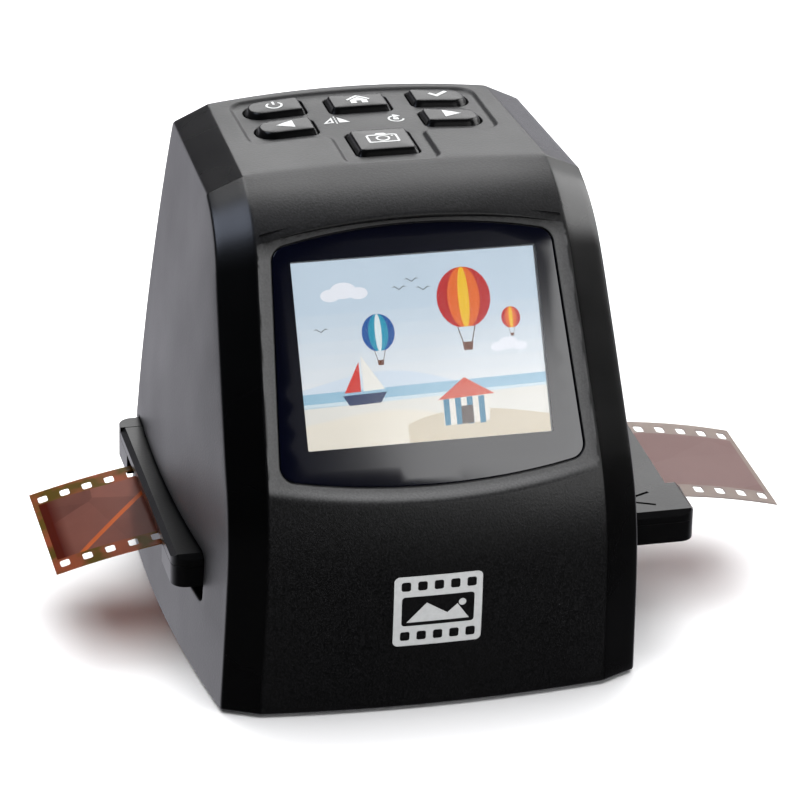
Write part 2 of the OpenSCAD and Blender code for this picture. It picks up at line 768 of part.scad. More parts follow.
module light_chassis() {
    x = chassis_half;
    rail_top = tray_z - running;
    color("#2a2a2c") difference() {
        union() {
            block([-x, tray_front - 2.8, base_top], [x, tray_rear - 0.1, floor_top]);
            block([-x, tray_front - 2.8, base_top], [x, tray_front - running, tray_z + 6]);
            block([-x, tray_front + 1.5, base_top], [x, tray_front + 3.7, rail_top]);
            block([-x, tray_front - 1, rail_top - 2], [x, tray_front + 3.7, rail_top]);
            block([-x, tray_rear - 3.8, base_top], [x, tray_rear - 1.6, rail_top]);
            block([-x, tray_rear - 5.6, rail_top - 2], [x, tray_rear - 1.6, rail_top]);
            block([-box_half[0], tray_y - box_half[1], base_top], [box_half[0], tray_y + box_half[1], box_top]);
        }
        block([box_wall - box_half[0], tray_y + box_wall - box_half[1], floor_top],
            [box_half[0] - box_wall, tray_y + box_half[1] - box_wall, far]);
        block([1 - box_half[0], tray_y + 1 - box_half[1], box_top - 2], [box_half[0] - 1, tray_y + box_half[1] - 1, far]);
        block([-14, tray_front + 0.2, rail_top - 1], [14, tray_front + 3.3, far]);
    }
}

module led_board() {
    color("white") block([-led_board_half[0], tray_y - led_board_half[1], floor_top],
        [led_board_half[0], tray_y + led_board_half[1], floor_top + board_t]);
}

module backlight_leds() {
    color("lightyellow") for (i = [-1.5 : 1.5]) for (j = [-1 : 1])
        translate([i * led_step[0] - led_size[0] / 2, tray_y + j * led_step[1] - led_size[1] / 2, floor_top + board_t])
            cube(led_size);
}

module diffuser() {
    g = 1 + drop_in;
    color("white") block([g - box_half[0], tray_y + g - box_half[1], box_top - 2],
        [box_half[0] - g, tray_y + box_half[1] - g, box_top]);
}

// Leaf that presses the tray upwards, lying in a pocket of the front rail
module tray_spring() {
    rise = 1;
    half = 13;
    r = (half * half + rise * rise) / (2 * rise);
    reach = asin(half / r);
    z0 = tray_z - running - 1;
    outer = [for (k = [-8 : 8]) [r * sin(reach * k / 8), r * cos(reach * k / 8) - r + rise]];
    inner = [for (k = [8 : -1 : -8]) [(r - 0.2) * sin(reach * k / 8), (r - 0.2) * cos(reach * k / 8) - r + rise]];
    color("silver") translate([0, tray_front + 3, z0 + 0.2]) rotate([90, 0, 0])
        linear_extrude(2.4) polygon(concat(outer, inner));
}

// Film tray
tray_left = 5 - tray_l / 2;
tray_right = tray_left + tray_l;
base_top_z = tray_z + tray_base_h;
lid_z = base_top_z + 0.1;
tray_r = 3;
end_step = 3;              // the right end stands back this far behind the film
channel_half = film_w / 2 + 0.3;
channel_z = base_top_z - 1.4;
gate = [18.5, 12.5];       // half the window over one picture
pull_half = 19.5;          // half the cut in the base's ends, where the film is gripped
pull_depth = 8;
bevel = 1;
hinge_y = tray_rear - 2.3;
hinge_z = base_top_z + 0.05;
hinge_r = 2;
hinge_pin_r = 0.8;
hinge_x0 = tray_left + 13;
knuckles = 5;
knuckle_l = (tray_l - 26) / knuckles;
rim_y = tray_rear - 4.4;

// Knuckles of the hinge: even ones belong to the base, odd ones to the lid
module knuckle_row(first, r, shrink) {
    for (k = [first : 2 : knuckles - 1])
        translate([hinge_x0 + k * knuckle_l + shrink, hinge_y, hinge_z]) rotate([0, 90, 0])
            cylinder(r = r, h = knuckle_l - 2 * shrink);
}

module hinge_bore() {
    translate([tray_left - 1, hinge_y, hinge_z]) rotate([0, 90, 0])
        translate([0, 0, 14.4]) cylinder(r = hinge_pin_r + pin_gap, h = tray_l - 26.8);
}

module tray_plan(z0, z1) {
    slab([tray_left, tray_front, z0], [tray_right, tray_y, z1], tray_r);
    slab([tray_left, tray_front, z0], [tray_right - end_step, tray_rear, z1], tray_r);
}

module tray_base() {
    hinge_x1 = hinge_x0 + knuckles * knuckle_l;
    color("#19191b") difference() {
        union() {
            tray_plan(tray_z, base_top_z);
            intersection() {
                tray_plan(tray_z, tray_top);
                union() {
                    block([-far, rim_y + 0.2, tray_z], [hinge_x0 - 0.3, far, far]);
                    block([hinge_x1 + 0.3, rim_y + 0.2, tray_z], [far, far, far]);
                }
            }
            knuckle_row(0, hinge_r, 0.15);
        }
        knuckle_row(1, hinge_r + 0.3, -0.15);
        for (k = [1 : 2 : knuckles - 1]) block([hinge_x0 + k * knuckle_l - 0.15, rim_y - 0.4, lid_z - 1.6],
            [hinge_x0 + (k + 1) * knuckle_l + 0.15, hinge_y, far]);
        block([-far, tray_y - channel_half, channel_z], [far, tray_y + channel_half, far]);
        block([-gate[0], tray_y - gate[1], 0], [gate[0], tray_y + gate[1], far]);
        block([-far, tray_y - pull_half, 0], [tray_left + pull_depth, tray_y + pull_half, far]);
        block([tray_right - pull_depth, tray_y - pull_half, 0], [far, tray_y + pull_half, far]);
        hinge_bore();
    }
}

module tray_lid() {
    x0 = tray_left;
    x1 = tray_right;
    arrow = [50.5, tray_front + 6.6];
    color("#19191b") difference() {
        union() {
            intersection() {
                tray_plan(lid_z, tray_top);
                translate([-far, 0, 0]) rotate([90, 0, 90]) linear_extrude(2 * far)
                    polygon([[tray_front, lid_z], [rim_y, lid_z], [rim_y, tray_top],
                        [tray_front + bevel, tray_top], [tray_front, tray_top - bevel]]);
                translate([0, far, 0]) rotate([90, 0, 0]) linear_extrude(2 * far)
                    polygon([[x0, lid_z], [x1, lid_z], [x1, tray_top - bevel], [x1 - bevel, tray_top],
                        [x0 + bevel, tray_top], [x0, tray_top - bevel]]);
            }
            for (y = [-1, 1]) block([x0 + 10, tray_y + y * 16.5 - 0.5, lid_z - 0.5],
                [x1 - 10, tray_y + y * 16.5 + 0.5, lid_z + eps]);
            knuckle_row(1, hinge_r, 0.15);
            for (k = [1 : 2 : knuckles - 1]) block([hinge_x0 + k * knuckle_l + 0.15, rim_y - 1, lid_z],
                [hinge_x0 + (k + 1) * knuckle_l - 0.15, hinge_y, lid_z + 1.6]);
        }
        block([-gate[0], tray_y - gate[1], 0], [gate[0], tray_y + gate[1], far]);
        block([x1 - end_step, tray_y - 18.7, 0], [far, tray_y + 18.7, far]);
        for (g = [-24, 24]) translate([arrow[0] - 5.5, arrow[1], tray_top - 0.3]) rotate([0, 0, g])
            block([0, -0.35, 0], [7, 0.35, 5]);
        hinge_bore();
    }
}

module tray_hinge_pin() {
    color("silver") translate([hinge_x0 + 0.6, hinge_y, hinge_z]) rotate([0, 90, 0])
        cylinder(r = hinge_pin_r, h = knuckles * knuckle_l - 1.2);
}

// Film strip: flat in the tray, then two bends at each end that droop under its own weight
film_z = channel_z + running + film_t / 2;
film_from = 5.5 - perforations * pitch / 2;
film_to = film_from + perforations * pitch;
bend_left = tray_left + pull_depth;
bend_right = tray_right - pull_depth + 1;
hole = [1.98, 2.79];
hole_y = film_w / 2 - 2.01 - hole[1] / 2;

// Run, drop and slope at a distance past the start of the bends
function droop(a, r1, g1, r2) =
    let (a1 = r1 * g1 * PI / 180, g = a < a1 ? a / r1 * 180 / PI : g1 + (a - a1) / r2 * 180 / PI)
    a < a1 ? [r1 * sin(g), r1 * (1 - cos(g)), g]
    : [r1 * sin(g1) + r2 * (sin(g) - sin(g1)), r1 * (1 - cos(g1)) + r2 * (cos(g1) - cos(g)), g];
// Place and slope of the film at a distance along it
function film_at(s) =
    s < bend_left ? let (d = droop(bend_left - s, 49, 9.8, 187)) [bend_left - d[0], film_z - d[1], d[2]]
    : s > bend_right ? let (d = droop(s - bend_right, 71, 6.8, 145)) [bend_right + d[0], film_z - d[1], -d[2]]
    : [s, film_z, 0];
function film_edge(s, side) = let (p = film_at(s)) [p[0] - side * sin(p[2]), p[1] + side * cos(p[2])];

module film_strip() {
    steps = concat([for (s = [film_from : pitch / 2 : bend_left]) s], [bend_left, bend_right],
        [for (k = [floor((film_to - bend_right) * 2 / pitch) : -1 : 0]) film_to - k * pitch / 2]);
    outline = concat([for (s = steps) film_edge(s, film_t / 2)],
        [for (k = [len(steps) - 1 : -1 : 0]) film_edge(steps[k], -film_t / 2)]);
    color([0.5, 0.25, 0.2, 0.8]) translate([0, tray_y, 0]) difference() {
        rotate([90, 0, 0]) translate([0, 0, -film_w / 2]) linear_extrude(film_w) polygon(outline);
        for (k = [0 : perforations - 1]) for (y = [-hole_y, hole_y])
            let (p = film_at(film_from + (k + 0.5) * pitch))
            translate([p[0], y, p[1]]) rotate([0, -p[2], 0]) cube([hole[0], hole[1], 3], center = true);
    }
}

main_housing();
rear_cover();
rear_screws();
base_plate();
base_screws();
rubber_feet();
screen_window();
display();
lcd_panel();
lcd_bracket();
lcd_screws();
display_flex();
power_button();
home_button();
ok_button();
left_button();
right_button();
capture_button();
button_board();
tact_switches();
button_board_screws();
main_board();
main_chips();
card_socket();
usb_socket();
video_jack();
main_board_screws();
middle_frame();
middle_frame_screws();
light_hood();
lens_holder();
lens_barrel();
lens_glass();
sensor_board();
image_sensor();
sensor_flex();
light_chassis();
led_board();
backlight_leds();
diffuser();
tray_spring();
tray_base();
tray_lid();
tray_hinge_pin();
film_strip();
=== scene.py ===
"""Compact scanner for film negatives: the looks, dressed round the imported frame.

Shapes are worked out in millimetres and become metres where a mesh is made.
+X is the user's right, -Y the front and +Z up.
"""
import math
from collections import namedtuple

import bmesh
import bpy
import numpy as np
from bpy.props import FloatProperty, FloatVectorProperty, PointerProperty
from mathutils import Matrix, Vector
from mathutils.geometry import delaunay_2d_cdt


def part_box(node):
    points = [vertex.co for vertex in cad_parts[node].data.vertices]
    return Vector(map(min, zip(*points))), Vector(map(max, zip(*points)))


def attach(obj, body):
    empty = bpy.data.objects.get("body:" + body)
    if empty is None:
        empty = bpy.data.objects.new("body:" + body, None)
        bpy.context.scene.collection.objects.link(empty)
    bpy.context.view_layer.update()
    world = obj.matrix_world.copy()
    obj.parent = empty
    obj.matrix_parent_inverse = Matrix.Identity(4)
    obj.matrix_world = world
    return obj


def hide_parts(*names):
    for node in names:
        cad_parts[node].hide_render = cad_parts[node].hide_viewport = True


bl_info = {
    "name": "Film negative scanner",
    "version": (1, 0, 0),
    "blender": (4, 5, 0),
    "location": "3D View > Sidebar > Scanner",
    "description": "Dresses the frame of a compact film negative scanner",
    "category": "Object",
}

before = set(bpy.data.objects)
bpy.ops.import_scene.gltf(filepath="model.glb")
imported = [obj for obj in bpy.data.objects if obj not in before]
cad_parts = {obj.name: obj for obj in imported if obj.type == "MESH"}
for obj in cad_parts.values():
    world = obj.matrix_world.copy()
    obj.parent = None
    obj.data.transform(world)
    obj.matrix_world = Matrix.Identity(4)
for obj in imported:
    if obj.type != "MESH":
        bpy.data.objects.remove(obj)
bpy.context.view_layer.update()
MM = 0.001


def node_box(name):
    """Lowest and highest corner of a CAD node, in millimetres."""
    return [np.array(corner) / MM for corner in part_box(name)]


# ---------------------------------------------------------------- driving sizes
WALL = 2.2
FRONT_Y = -41.0
REAR_Y = 44.0
FOOT_Z = 0.6
CREASE_Z = 98.0  # height and depth of the edge between brow and top
CREASE_Y = 0.9
FRONT_W = 84.8
REAR_W = 91.2
REAR_TOP_W = 70.8
SIDE_BULGE = 2.3  # of the side panels, at half depth near the foot
SIDE_LEAN = 0.046  # narrowing of each side upwards
TOP_LEAN = 0.035  # and of the top backwards
CHAMFER_W = 7.3  # the long chamfers: across, and back from the panel
CHAMFER_D = 3.5
FRONT_CROWN = 2.2  # how far the panel's middle stands out in front, at the crease and at the rear
CREASE_CROWN = 1.0
REAR_CROWN = 1.9
BROW_D = 12.6  # depth of the slope above the recess
BROW_SLOPE = math.radians(20)
TOP_FALL = 1.9  # from the crease to the rear
BELLY = (-42.25, 22.0)  # y and z where the front stands out most
BELLY_R, KNEE_R, BROW_R, CREASE_R = 150.0, 42.0, 26.0, 3.0

TILT = math.radians(30.35)  # of the window, back from upright
SCREEN_Y, SCREEN_Z = -23.9, 69.8  # middle of the picture, in the plane of the pocket's floor
FACE_LIFT = 0.8  # of the surface round the window over that plane
LIP_STEP = 0.3  # least height of the brow's lip over that surface
ARCH = (45.4, 25.2, 5.8)  # half width, height in the middle and sag of the brow's lip
WINDOW_TOP = (28.0, 24.3, 3.2)  # and of the window's top
WINDOW_FOOT = (30.5, 26.9, 3.2)  # and of its foot, measured down
WINDOW_R = 3.2
LEDGE_GAP, LEDGE_W = 0.7, 3.0  # from the window down to the ledge, and the ledge's width
PICTURE = (24.48, 18.36)  # half its width and height

SLOT_Y = (-24.2, 41.2)  # the tray's slots in the side panels
SLOT_Z = (17.6, 28.4)
SLOT_R = 2.0

Key = namedtuple("Key", "x y width depth left_r right_r")
OUTER_X, OUTER_KEY, MIDDLE_W = 17.15, (12.2, 8.2), 12.8
ROUND_END, SQUARE_END = 3.8, 1.2
POWER_Y, ARROW_Y, HOME_Y, CAPTURE_Y = 35.6, 24.2, 34.2, 12.1
KEYS = {
    "power": Key(-OUTER_X, POWER_Y, *OUTER_KEY, ROUND_END, SQUARE_END),
    "ok": Key(OUTER_X, POWER_Y, *OUTER_KEY, SQUARE_END, ROUND_END),
    "left": Key(-OUTER_X, ARROW_Y, *OUTER_KEY, ROUND_END, SQUARE_END),
    "right": Key(OUTER_X, ARROW_Y, *OUTER_KEY, SQUARE_END, ROUND_END),
    "home": Key(0, HOME_Y, MIDDLE_W, 8.4, SQUARE_END, SQUARE_END),
    "capture": Key(0, CAPTURE_Y, MIDDLE_W, 12.4, SQUARE_END, SQUARE_END),
}
KEY_GAP = 0.25  # round each button in its well
KEY_RISE = 0.3  # of the caps over the housing's panel
FLANGE_Z = 92.8  # underside of the buttons' flanges
ISLAND_DEPTH = 0.7
ISLAND_HALF, ISLAND_FRONT, ISLAND_REAR = 25.25, 17.5, 41.0
STEM_HALF, STEM_FRONT = 9.2, 1.7  # the part of the island round the capture button

UP_SCREEN = np.array([math.sin(TILT), math.cos(TILT)])
OUT_SCREEN = np.array([-math.cos(TILT), math.sin(TILT)])


# ---------------------------------------------------------------- small helpers
def unit(v):
    v = np.asarray(v, float)
    return v / np.linalg.norm(v, axis=-1, keepdims=True)


def turned(v):
    """A direction in a plane, turned left by a quarter."""
    return np.array([-v[1], v[0]])


def smoothstep(t):
    t = np.clip(t, 0, 1)
    return t * t * (3 - 2 * t)


def meet(p, d, q, e):
    """Where the line through p along d meets the line through q along e."""
    across = d[0] * e[1] - d[1] * e[0]
    return p + d * ((q[0] - p[0]) * e[1] - (q[1] - p[1]) * e[0]) / across


def inside(points, polygon):
    """Which points lie within a polygon."""
    points, polygon = np.asarray(points), np.asarray(polygon)
    hit = np.zeros(len(points), bool)
    for a, b in zip(polygon, np.roll(polygon, -1, axis=0)):
        between = (a[1] > points[:, 1]) != (b[1] > points[:, 1])
        with np.errstate(divide="ignore", invalid="ignore"):
            x = a[0] + (points[:, 1] - a[1]) / (b[1] - a[1]) * (b[0] - a[0])
        hit ^= between & (points[:, 0] < x)
    return hit


def gap_to(points, polygon):
    """Distance of each point from the nearest edge of a polygon."""
    best = np.full(len(points), 1e9)
    for a, b in zip(polygon, np.roll(polygon, -1, axis=0)):
        d = b - a
        t = np.clip((points - a) @ d / max(d @ d, 1e-12), 0, 1)
        best = np.minimum(best, np.linalg.norm(points - a - t[:, None] * d, axis=1))
    return best


def spaced(points, step, closed=True):
    """The same line with points added so that none lie further apart than step."""
    out = []
    ends = np.roll(points, -1, axis=0) if closed else points[1:]
    for a, b in zip(points, ends):
        n = max(1, math.ceil(np.linalg.norm(b - a) / step))
        out += [a + (b - a) * k / n for k in range(n)]
    return np.array(out if closed else out + [points[-1]])


def round_polygon(points, radii, step=0.5):
    """A polygon with arcs at its corners, listed in the same order."""
    out = []
    n = len(points)
    for k in range(n):
        a, b, c = (np.array(points[(k + j) % n], float) for j in (-1, 0, 1))
        d1, d2 = unit(a - b), unit(c - b)
        half = math.acos(np.clip(d1 @ d2, -1, 1)) / 2
        r = radii[k]
        if r <= 0:
            out.append(b)
            continue
        centre = b + unit(d1 + d2) * r / math.sin(half)
        p1, p2 = b + d1 * r / math.tan(half), b + d2 * r / math.tan(half)
        g1 = math.atan2(*(p1 - centre)[::-1])
        turn = math.atan2(*(p2 - centre)[::-1]) - g1
        turn = (turn + math.pi) % (2 * math.pi) - math.pi
        count = max(3, math.ceil(abs(turn) * r / step))
        for i in range(count + 1):
            g = g1 + turn * i / count
            out.append(centre + r * np.array([math.cos(g), math.sin(g)]))
    return np.array(out)


def box_outline(x0, y0, x1, y1, r=0.0, step=0.2):
    """A rectangle from two of its corners, anticlockwise, with its corners rounded."""
    corners = [(x0, y0), (x1, y0), (x1, y1), (x0, y1)]
    return round_polygon(corners, [r] * 4, step)


def raised(places, height):
    """Places in plan as points at one height, or each at its own."""
    return np.column_stack([places, np.broadcast_to(height, len(places))])


def grown(outline, amount):
    """An outline moved out along its own normals; anticlockwise outlines grow."""
    after, before = np.roll(outline, -1, axis=0), np.roll(outline, 1, axis=0)
    t1, t2 = unit(outline - before), unit(after - outline)
    n = np.stack([t1[:, 1] + t2[:, 1], -t1[:, 0] - t2[:, 0]], axis=1)
    n = unit(n)
    reach = np.clip(n[:, 0] * t1[:, 1] - n[:, 1] * t1[:, 0], 0.5, 1)
    return outline + n * (amount / reach)[:, None]


def evenly(line, count):
    """A closed line as a fixed number of points at even distances."""
    closed = np.concatenate([line, line[:1]])
    run = np.concatenate([[0], np.cumsum(np.linalg.norm(np.diff(closed, axis=0), axis=1))])
    at = np.linspace(0, run[-1], count, endpoint=False)
    return np.stack([np.interp(at, run, closed[:, k]) for k in (0, 1)], axis=1)


def within(points, loops):
    """Which points lie inside the first loop and outside the others."""
    good = inside(points, loops[0])
    for hole in loops[1:]:
        good &= ~inside(points, hole)
    return good


def clear_of(points, loops, distance):
    """The points within the loops that lie further than a distance from each of them."""
    keep = within(points, loops)
    for loop in loops:
        keep &= gap_to(points, loop) > distance
    return points[keep]


def grid_in(loops, step, guides):
    """Points in even rows inside the loops, and the guides where they are given."""
    lo, hi = loops[0].min(0), loops[0].max(0)
    rows = np.arange(lo[1] + step / 2, hi[1], step * math.sqrt(3) / 2)
    grid = np.array([
        (x + (step / 2 if k % 2 else 0), y)
        for k, y in enumerate(rows)
        for x in np.arange(lo[0] + step / 4, hi[0], step)
    ]).reshape(-1, 2)
    grid = clear_of(grid, loops, step * GRID_CLEAR)
    if guides is None:
        return grid
    guides = clear_of(guides, loops, GUIDE_CLEAR)
    apart = np.linalg.norm(grid[:, None] - guides[None], axis=2).min(axis=1)
    return np.concatenate([guides, grid[apart > step / 2]])


def spread(tris, good, walls):
    """The good triangles and all that they reach without crossing a wall."""
    beside = {}
    for k, t in enumerate(tris):
        for i in range(3):
            beside.setdefault(frozenset((int(t[i]), int(t[i - 1]))), []).append(k)
    reached = set(np.nonzero(good)[0].tolist())
    queue = list(reached)
    while queue:
        t = tris[queue.pop()]
        for i in range(3):
            edge = frozenset((int(t[i]), int(t[i - 1])))
            for k in () if edge in walls else beside[edge]:
                if k not in reached:
                    reached.add(k)
                    queue.append(k)
    return sorted(reached)


GRID_CLEAR = 0.45  # of a step, from an outline to the nearest point of the grid
GUIDE_CLEAR = 0.28  # from an outline to the nearest guide
THIN = 0.01  # of a square step: thinner triangles aren't judged by their middle


def triangulate(outer, holes, step, guides=None):
    """Points and triangles that fill an outline, with even triangles between its edges.

    Guides are points to keep besides, where the surface needs finer triangles.
    """
    loops = [np.asarray(outer, float)] + [np.asarray(h, float) for h in holes]
    points = np.concatenate(loops + [grid_in(loops, step, guides)])
    edges, start = [], 0
    for loop in loops:
        n = len(loop)
        edges += [(start + k, start + (k + 1) % n) for k in range(n)]
        start += n
    co, _, tris, source, _, _ = delaunay_2d_cdt(
        [Vector(p) for p in points], edges, [], 0, 1e-7, True)
    co = np.array([tuple(c) for c in co])
    place = {}
    for k, found in enumerate(source):
        for i in found:
            place[i] = k
            co[k] = points[i]
    walls = {frozenset((place[i], place[j])) for i, j in edges}
    tris = np.array([t for t in tris if len(t) == 3])
    good = within(co[tris].mean(axis=1), loops)
    d1, d2 = (co[tris[:, k]] - co[tris[:, 0]] for k in (1, 2))
    good &= np.abs(d1[:, 0] * d2[:, 1] - d1[:, 1] * d2[:, 0]) > THIN * step * step
    return co, tris[spread(tris, good, walls)]


class Skin:
    """Collects points and faces in millimetres, and becomes one merged bmesh.

    Each point has a mark, which a material can read.
    """

    def __init__(self):
        self.points, self.faces, self.marks, self.count = [], [], [], 0

    def add(self, points, faces, mark=0.0):
        points = np.asarray(points, float)
        mark = np.broadcast_to(mark, len(points))
        self.points.append(points)
        self.marks.append(np.array(mark, float))
        self.faces += [tuple(int(i) + self.count for i in f) for f in faces]
        self.count += len(points)

    def strip(self, rows, closed=False, mark=0.0):
        """Quads between rows of points; closed rows join up with their start."""
        rows = np.asarray(rows, float)
        n, m = rows.shape[:2]
        faces = []
        for i in range(n - 1):
            for j in range(m if closed else m - 1):
                k = (j + 1) % m
                faces.append((i * m + j, i * m + k, (i + 1) * m + k, (i + 1) * m + j))
        marks = np.repeat(mark, m) if np.ndim(mark) == 1 else np.ravel(mark)
        self.add(rows.reshape(-1, 3), faces, marks)

    def mesh(self, merge=0.002):
        bm = bmesh.new()
        layer = bm.verts.layers.float.new("mark")
        for p, mark in zip(np.concatenate(self.points), np.concatenate(self.marks)):
            bm.verts.new(p)[layer] = mark
        bm.verts.ensure_lookup_table()
        for f in self.faces:
            if len(set(f)) > 2:
                bm.faces.new([bm.verts[i] for i in f])
        bmesh.ops.remove_doubles(bm, verts=bm.verts, dist=merge)
        return bm


def face_out(bm):
    bmesh.ops.recalc_face_normals(bm, faces=bm.faces)
    return bm


def smooth_faces(bm, angle=38):
    """Smooth shading that breaks where two faces meet at more than an angle."""
    bm.normal_update()
    for face in bm.faces:
        face.smooth = True
    limit = math.radians(angle)
    for edge in bm.edges:
        edge.smooth = len(edge.link_faces) == 2 and edge.calc_face_angle(0) < limit


def as_mesh(name, bm):
    """A mesh from a bmesh, which is used up."""
    mesh = bpy.data.meshes.new(name)
    bm.to_mesh(mesh)
    bm.free()
    return mesh


def into_piece(name, bm, body, material, replaces=()):
    """A finished piece from a bmesh in millimetres, riding on its body."""
    smooth_faces(bm)
    mesh = as_mesh(name, bm)
    mesh.transform(Matrix.Scale(MM, 4))
    return place_mesh(name, mesh, body, material, replaces)


def place_mesh(name, mesh, body, material, replaces=()):
    """The same from a mesh in metres; it stands for the CAD nodes that it replaces."""
    obj = bpy.data.objects.new(name, mesh)
    bpy.context.collection.objects.link(obj)
    mesh.materials.clear()
    mesh.materials.append(material)
    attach(obj, body)
    if replaces:
        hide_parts(*replaces)
    return obj


def cad_copy(node):
    """A copy of a CAD node in millimetres, merged and with its flat faces joined."""
    bm = bmesh.new()
    bm.from_mesh(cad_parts[node].data)
    bmesh.ops.scale(bm, vec=(1 / MM,) * 3, verts=bm.verts)
    bmesh.ops.remove_doubles(bm, verts=bm.verts, dist=0.003)
    bmesh.ops.dissolve_limit(bm, angle_limit=math.radians(0.6), verts=bm.verts, edges=bm.edges)
    return face_out(bm)


def eased(bm, width, segments, angle=30):
    """Rounds every edge that is sharper than an angle."""
    bm.normal_update()
    limit = math.radians(angle)
    sharp = [e for e in bm.edges if len(e.link_faces) == 2 and e.calc_face_angle(0) > limit]
    bmesh.ops.bevel(bm, geom=sharp, offset=width, offset_type="OFFSET", segments=segments,
                    profile=0.5, affect="EDGES", clamp_overlap=True)
    bmesh.ops.remove_doubles(bm, verts=bm.verts, dist=0.001)
    return bm


# ---------------------------------------------------------------- housing surface
RIM_R = 0.7  # rounding where the housing ends at the foot and at the rear
EASE_IN = 0.4  # reach of the rounding between panel and chamfer
EASE_OUT = 0.6  # and between chamfer and side
ARC_STEPS = (8, 26, 30, 12)  # points along each arc of the edge line
LINE_STEPS = (10, 3, 12, 6, 34)  # and along the straight runs before, between and after them
LOW = FOOT_Z + RIM_R
BACK = REAR_Y - RIM_R


def edge_line(inset=0.0):
    """The housing's edge in side view, moved in: points and outward normals (y, z).

    Whatever the inset, the points come in the same number and order.
    """
    face = np.array([SCREEN_Y, SCREEN_Z]) + (FACE_LIFT + LIP_STEP) * OUT_SCREEN
    crease = np.array([CREASE_Y, CREASE_Z])
    belly = np.array(BELLY)
    chain = [
        np.array([FRONT_Y, FOOT_Z]),
        belly,
        meet(belly, np.array([0.0, 1.0]), face, UP_SCREEN),
        meet(face, UP_SCREEN, crease, np.array([math.cos(BROW_SLOPE), math.sin(BROW_SLOPE)])),
        crease,
        np.array([REAR_Y, CREASE_Z - TOP_FALL]),
    ]
    along = [unit(b - a) for a, b in zip(chain, chain[1:])]
    normals = [turned(d) for d in along]
    feet = [p - inset * n for p, n in zip(chain, normals)]
    start = feet[0] + along[0] * (LOW - feet[0][1]) / along[0][1]
    points, facing = [], []
    for k, radius in enumerate((BELLY_R, KNEE_R, BROW_R, CREASE_R)):
        b = meet(feet[k], along[k], feet[k + 1], along[k + 1])
        r = max(radius - inset, 1.0)
        g1, g2 = (math.atan2(n[1], n[0]) % (2 * math.pi) for n in (normals[k], normals[k + 1]))
        half = (g1 - g2) / 2
        centre = b - unit(normals[k] + normals[k + 1]) * r / math.cos(half)
        for i in range(LINE_STEPS[k]):
            points.append(start + (b - along[k] * r * math.tan(half) - start) * i / LINE_STEPS[k])
            facing.append(normals[k])
        for i in range(ARC_STEPS[k]):
            g = g1 + (g2 - g1) * i / ARC_STEPS[k]
            facing.append(np.array([math.cos(g), math.sin(g)]))
            points.append(centre + r * facing[-1])
        start = b + along[k + 1] * r * math.tan(half)
    end = start + along[-1] * (BACK - start[0]) / along[-1][0]
    for i in range(LINE_STEPS[-1] + 1):
        points.append(start + (end - start) * i / LINE_STEPS[-1])
        facing.append(normals[-1])
    return np.array(points), np.array(facing)


EDGE, EDGE_N = edge_line()
RUN = np.concatenate([[0], np.cumsum(np.linalg.norm(np.diff(EDGE, axis=0), axis=1))])


def lean_in(z):
    """Narrowing of each side up to a height: slow at the foot, faster at the top."""
    return SIDE_LEAN * z * (1 + z / CREASE_Z) / 2


def edge_x(y, z):
    """Half width of the middle panel, up to where it meets the chamfer."""
    return FRONT_W / 2 - CHAMFER_W - lean_in(z) - TOP_LEAN * np.maximum(0, y - CREASE_Y)


def crown(y):
    """How far the middle of the panel stands out from its edges."""
    return np.interp(y, [CREASE_Y - BROW_D, CREASE_Y, REAR_Y],
                     [FRONT_CROWN, CREASE_CROWN, REAR_CROWN])


def panel(x, s, lift=0.0):
    """Points of the crowned middle panel, x across and s along the edge line."""
    x, s = np.asarray(x, float), np.asarray(s, float)
    y, z = (np.interp(s, RUN, EDGE[:, k]) for k in (0, 1))
    n = unit(np.stack([np.interp(s, RUN, EDGE_N[:, k]) for k in (0, 1)], axis=-1))
    rise = crown(y) * (1 - (x / edge_x(y, z)) ** 2)
    return np.stack([x, y + rise * np.minimum(n[..., 0], 0) + lift * n[..., 0],
                     z + rise * np.maximum(n[..., 1], 0) + lift * n[..., 1]], axis=-1)


def panel_half(s):
    """Half width of the middle panel, up to where its rounding starts."""
    return edge_x(np.interp(s, RUN, EDGE[:, 0]), np.interp(s, RUN, EDGE[:, 1])) - EASE_IN


def on_screen(points):
    """Height up the screen and height above the picture's plane."""
    d = points[..., 1:] - np.array([SCREEN_Y, SCREEN_Z])
    return d @ UP_SCREEN, d @ OUT_SCREEN


def from_screen(x, v, w):
    """Points from the display's own coordinates."""
    x, v, w = np.broadcast_arrays(*(np.asarray(a, float) for a in (x, v, w)))
    return np.stack([x, SCREEN_Y + v * UP_SCREEN[0] + w * OUT_SCREEN[0],
                     SCREEN_Z + v * UP_SCREEN[1] + w * OUT_SCREEN[1]], axis=-1)


def find_run(x, target, measure):
    """Place along the edge line where a measure of the panel reaches its target."""
    x, target = np.asarray(x, float), np.asarray(target, float)
    lo, hi = np.zeros_like(x), np.full_like(x, RUN[-1])
    for _ in range(40):
        mid = (lo + hi) / 2
        below = measure(panel(x, mid)) < target
        lo, hi = np.where(below, mid, lo), np.where(below, hi, mid)
    return (lo + hi) / 2


def at_height(x, v):
    """Place along the edge line of the panel's point at a height up the screen."""
    return find_run(x, v, lambda p: on_screen(p)[0])


def at_depth(x, y):
    """The same for a place in plan."""
    return find_run(x, y, lambda p: p[..., 1])


def by_height(outline):
    """Places on the panel, across it and along the edge line, from the display's coordinates."""
    return np.stack([outline[:, 0], at_height(outline[:, 0], outline[:, 1])], axis=1)


def by_depth(outline):
    """The same from places in plan."""
    return np.stack([outline[:, 0], at_depth(outline[:, 0], outline[:, 1])], axis=1)


def on_panel(places, lift=0.0):
    return panel(places[:, 0], places[:, 1], lift)


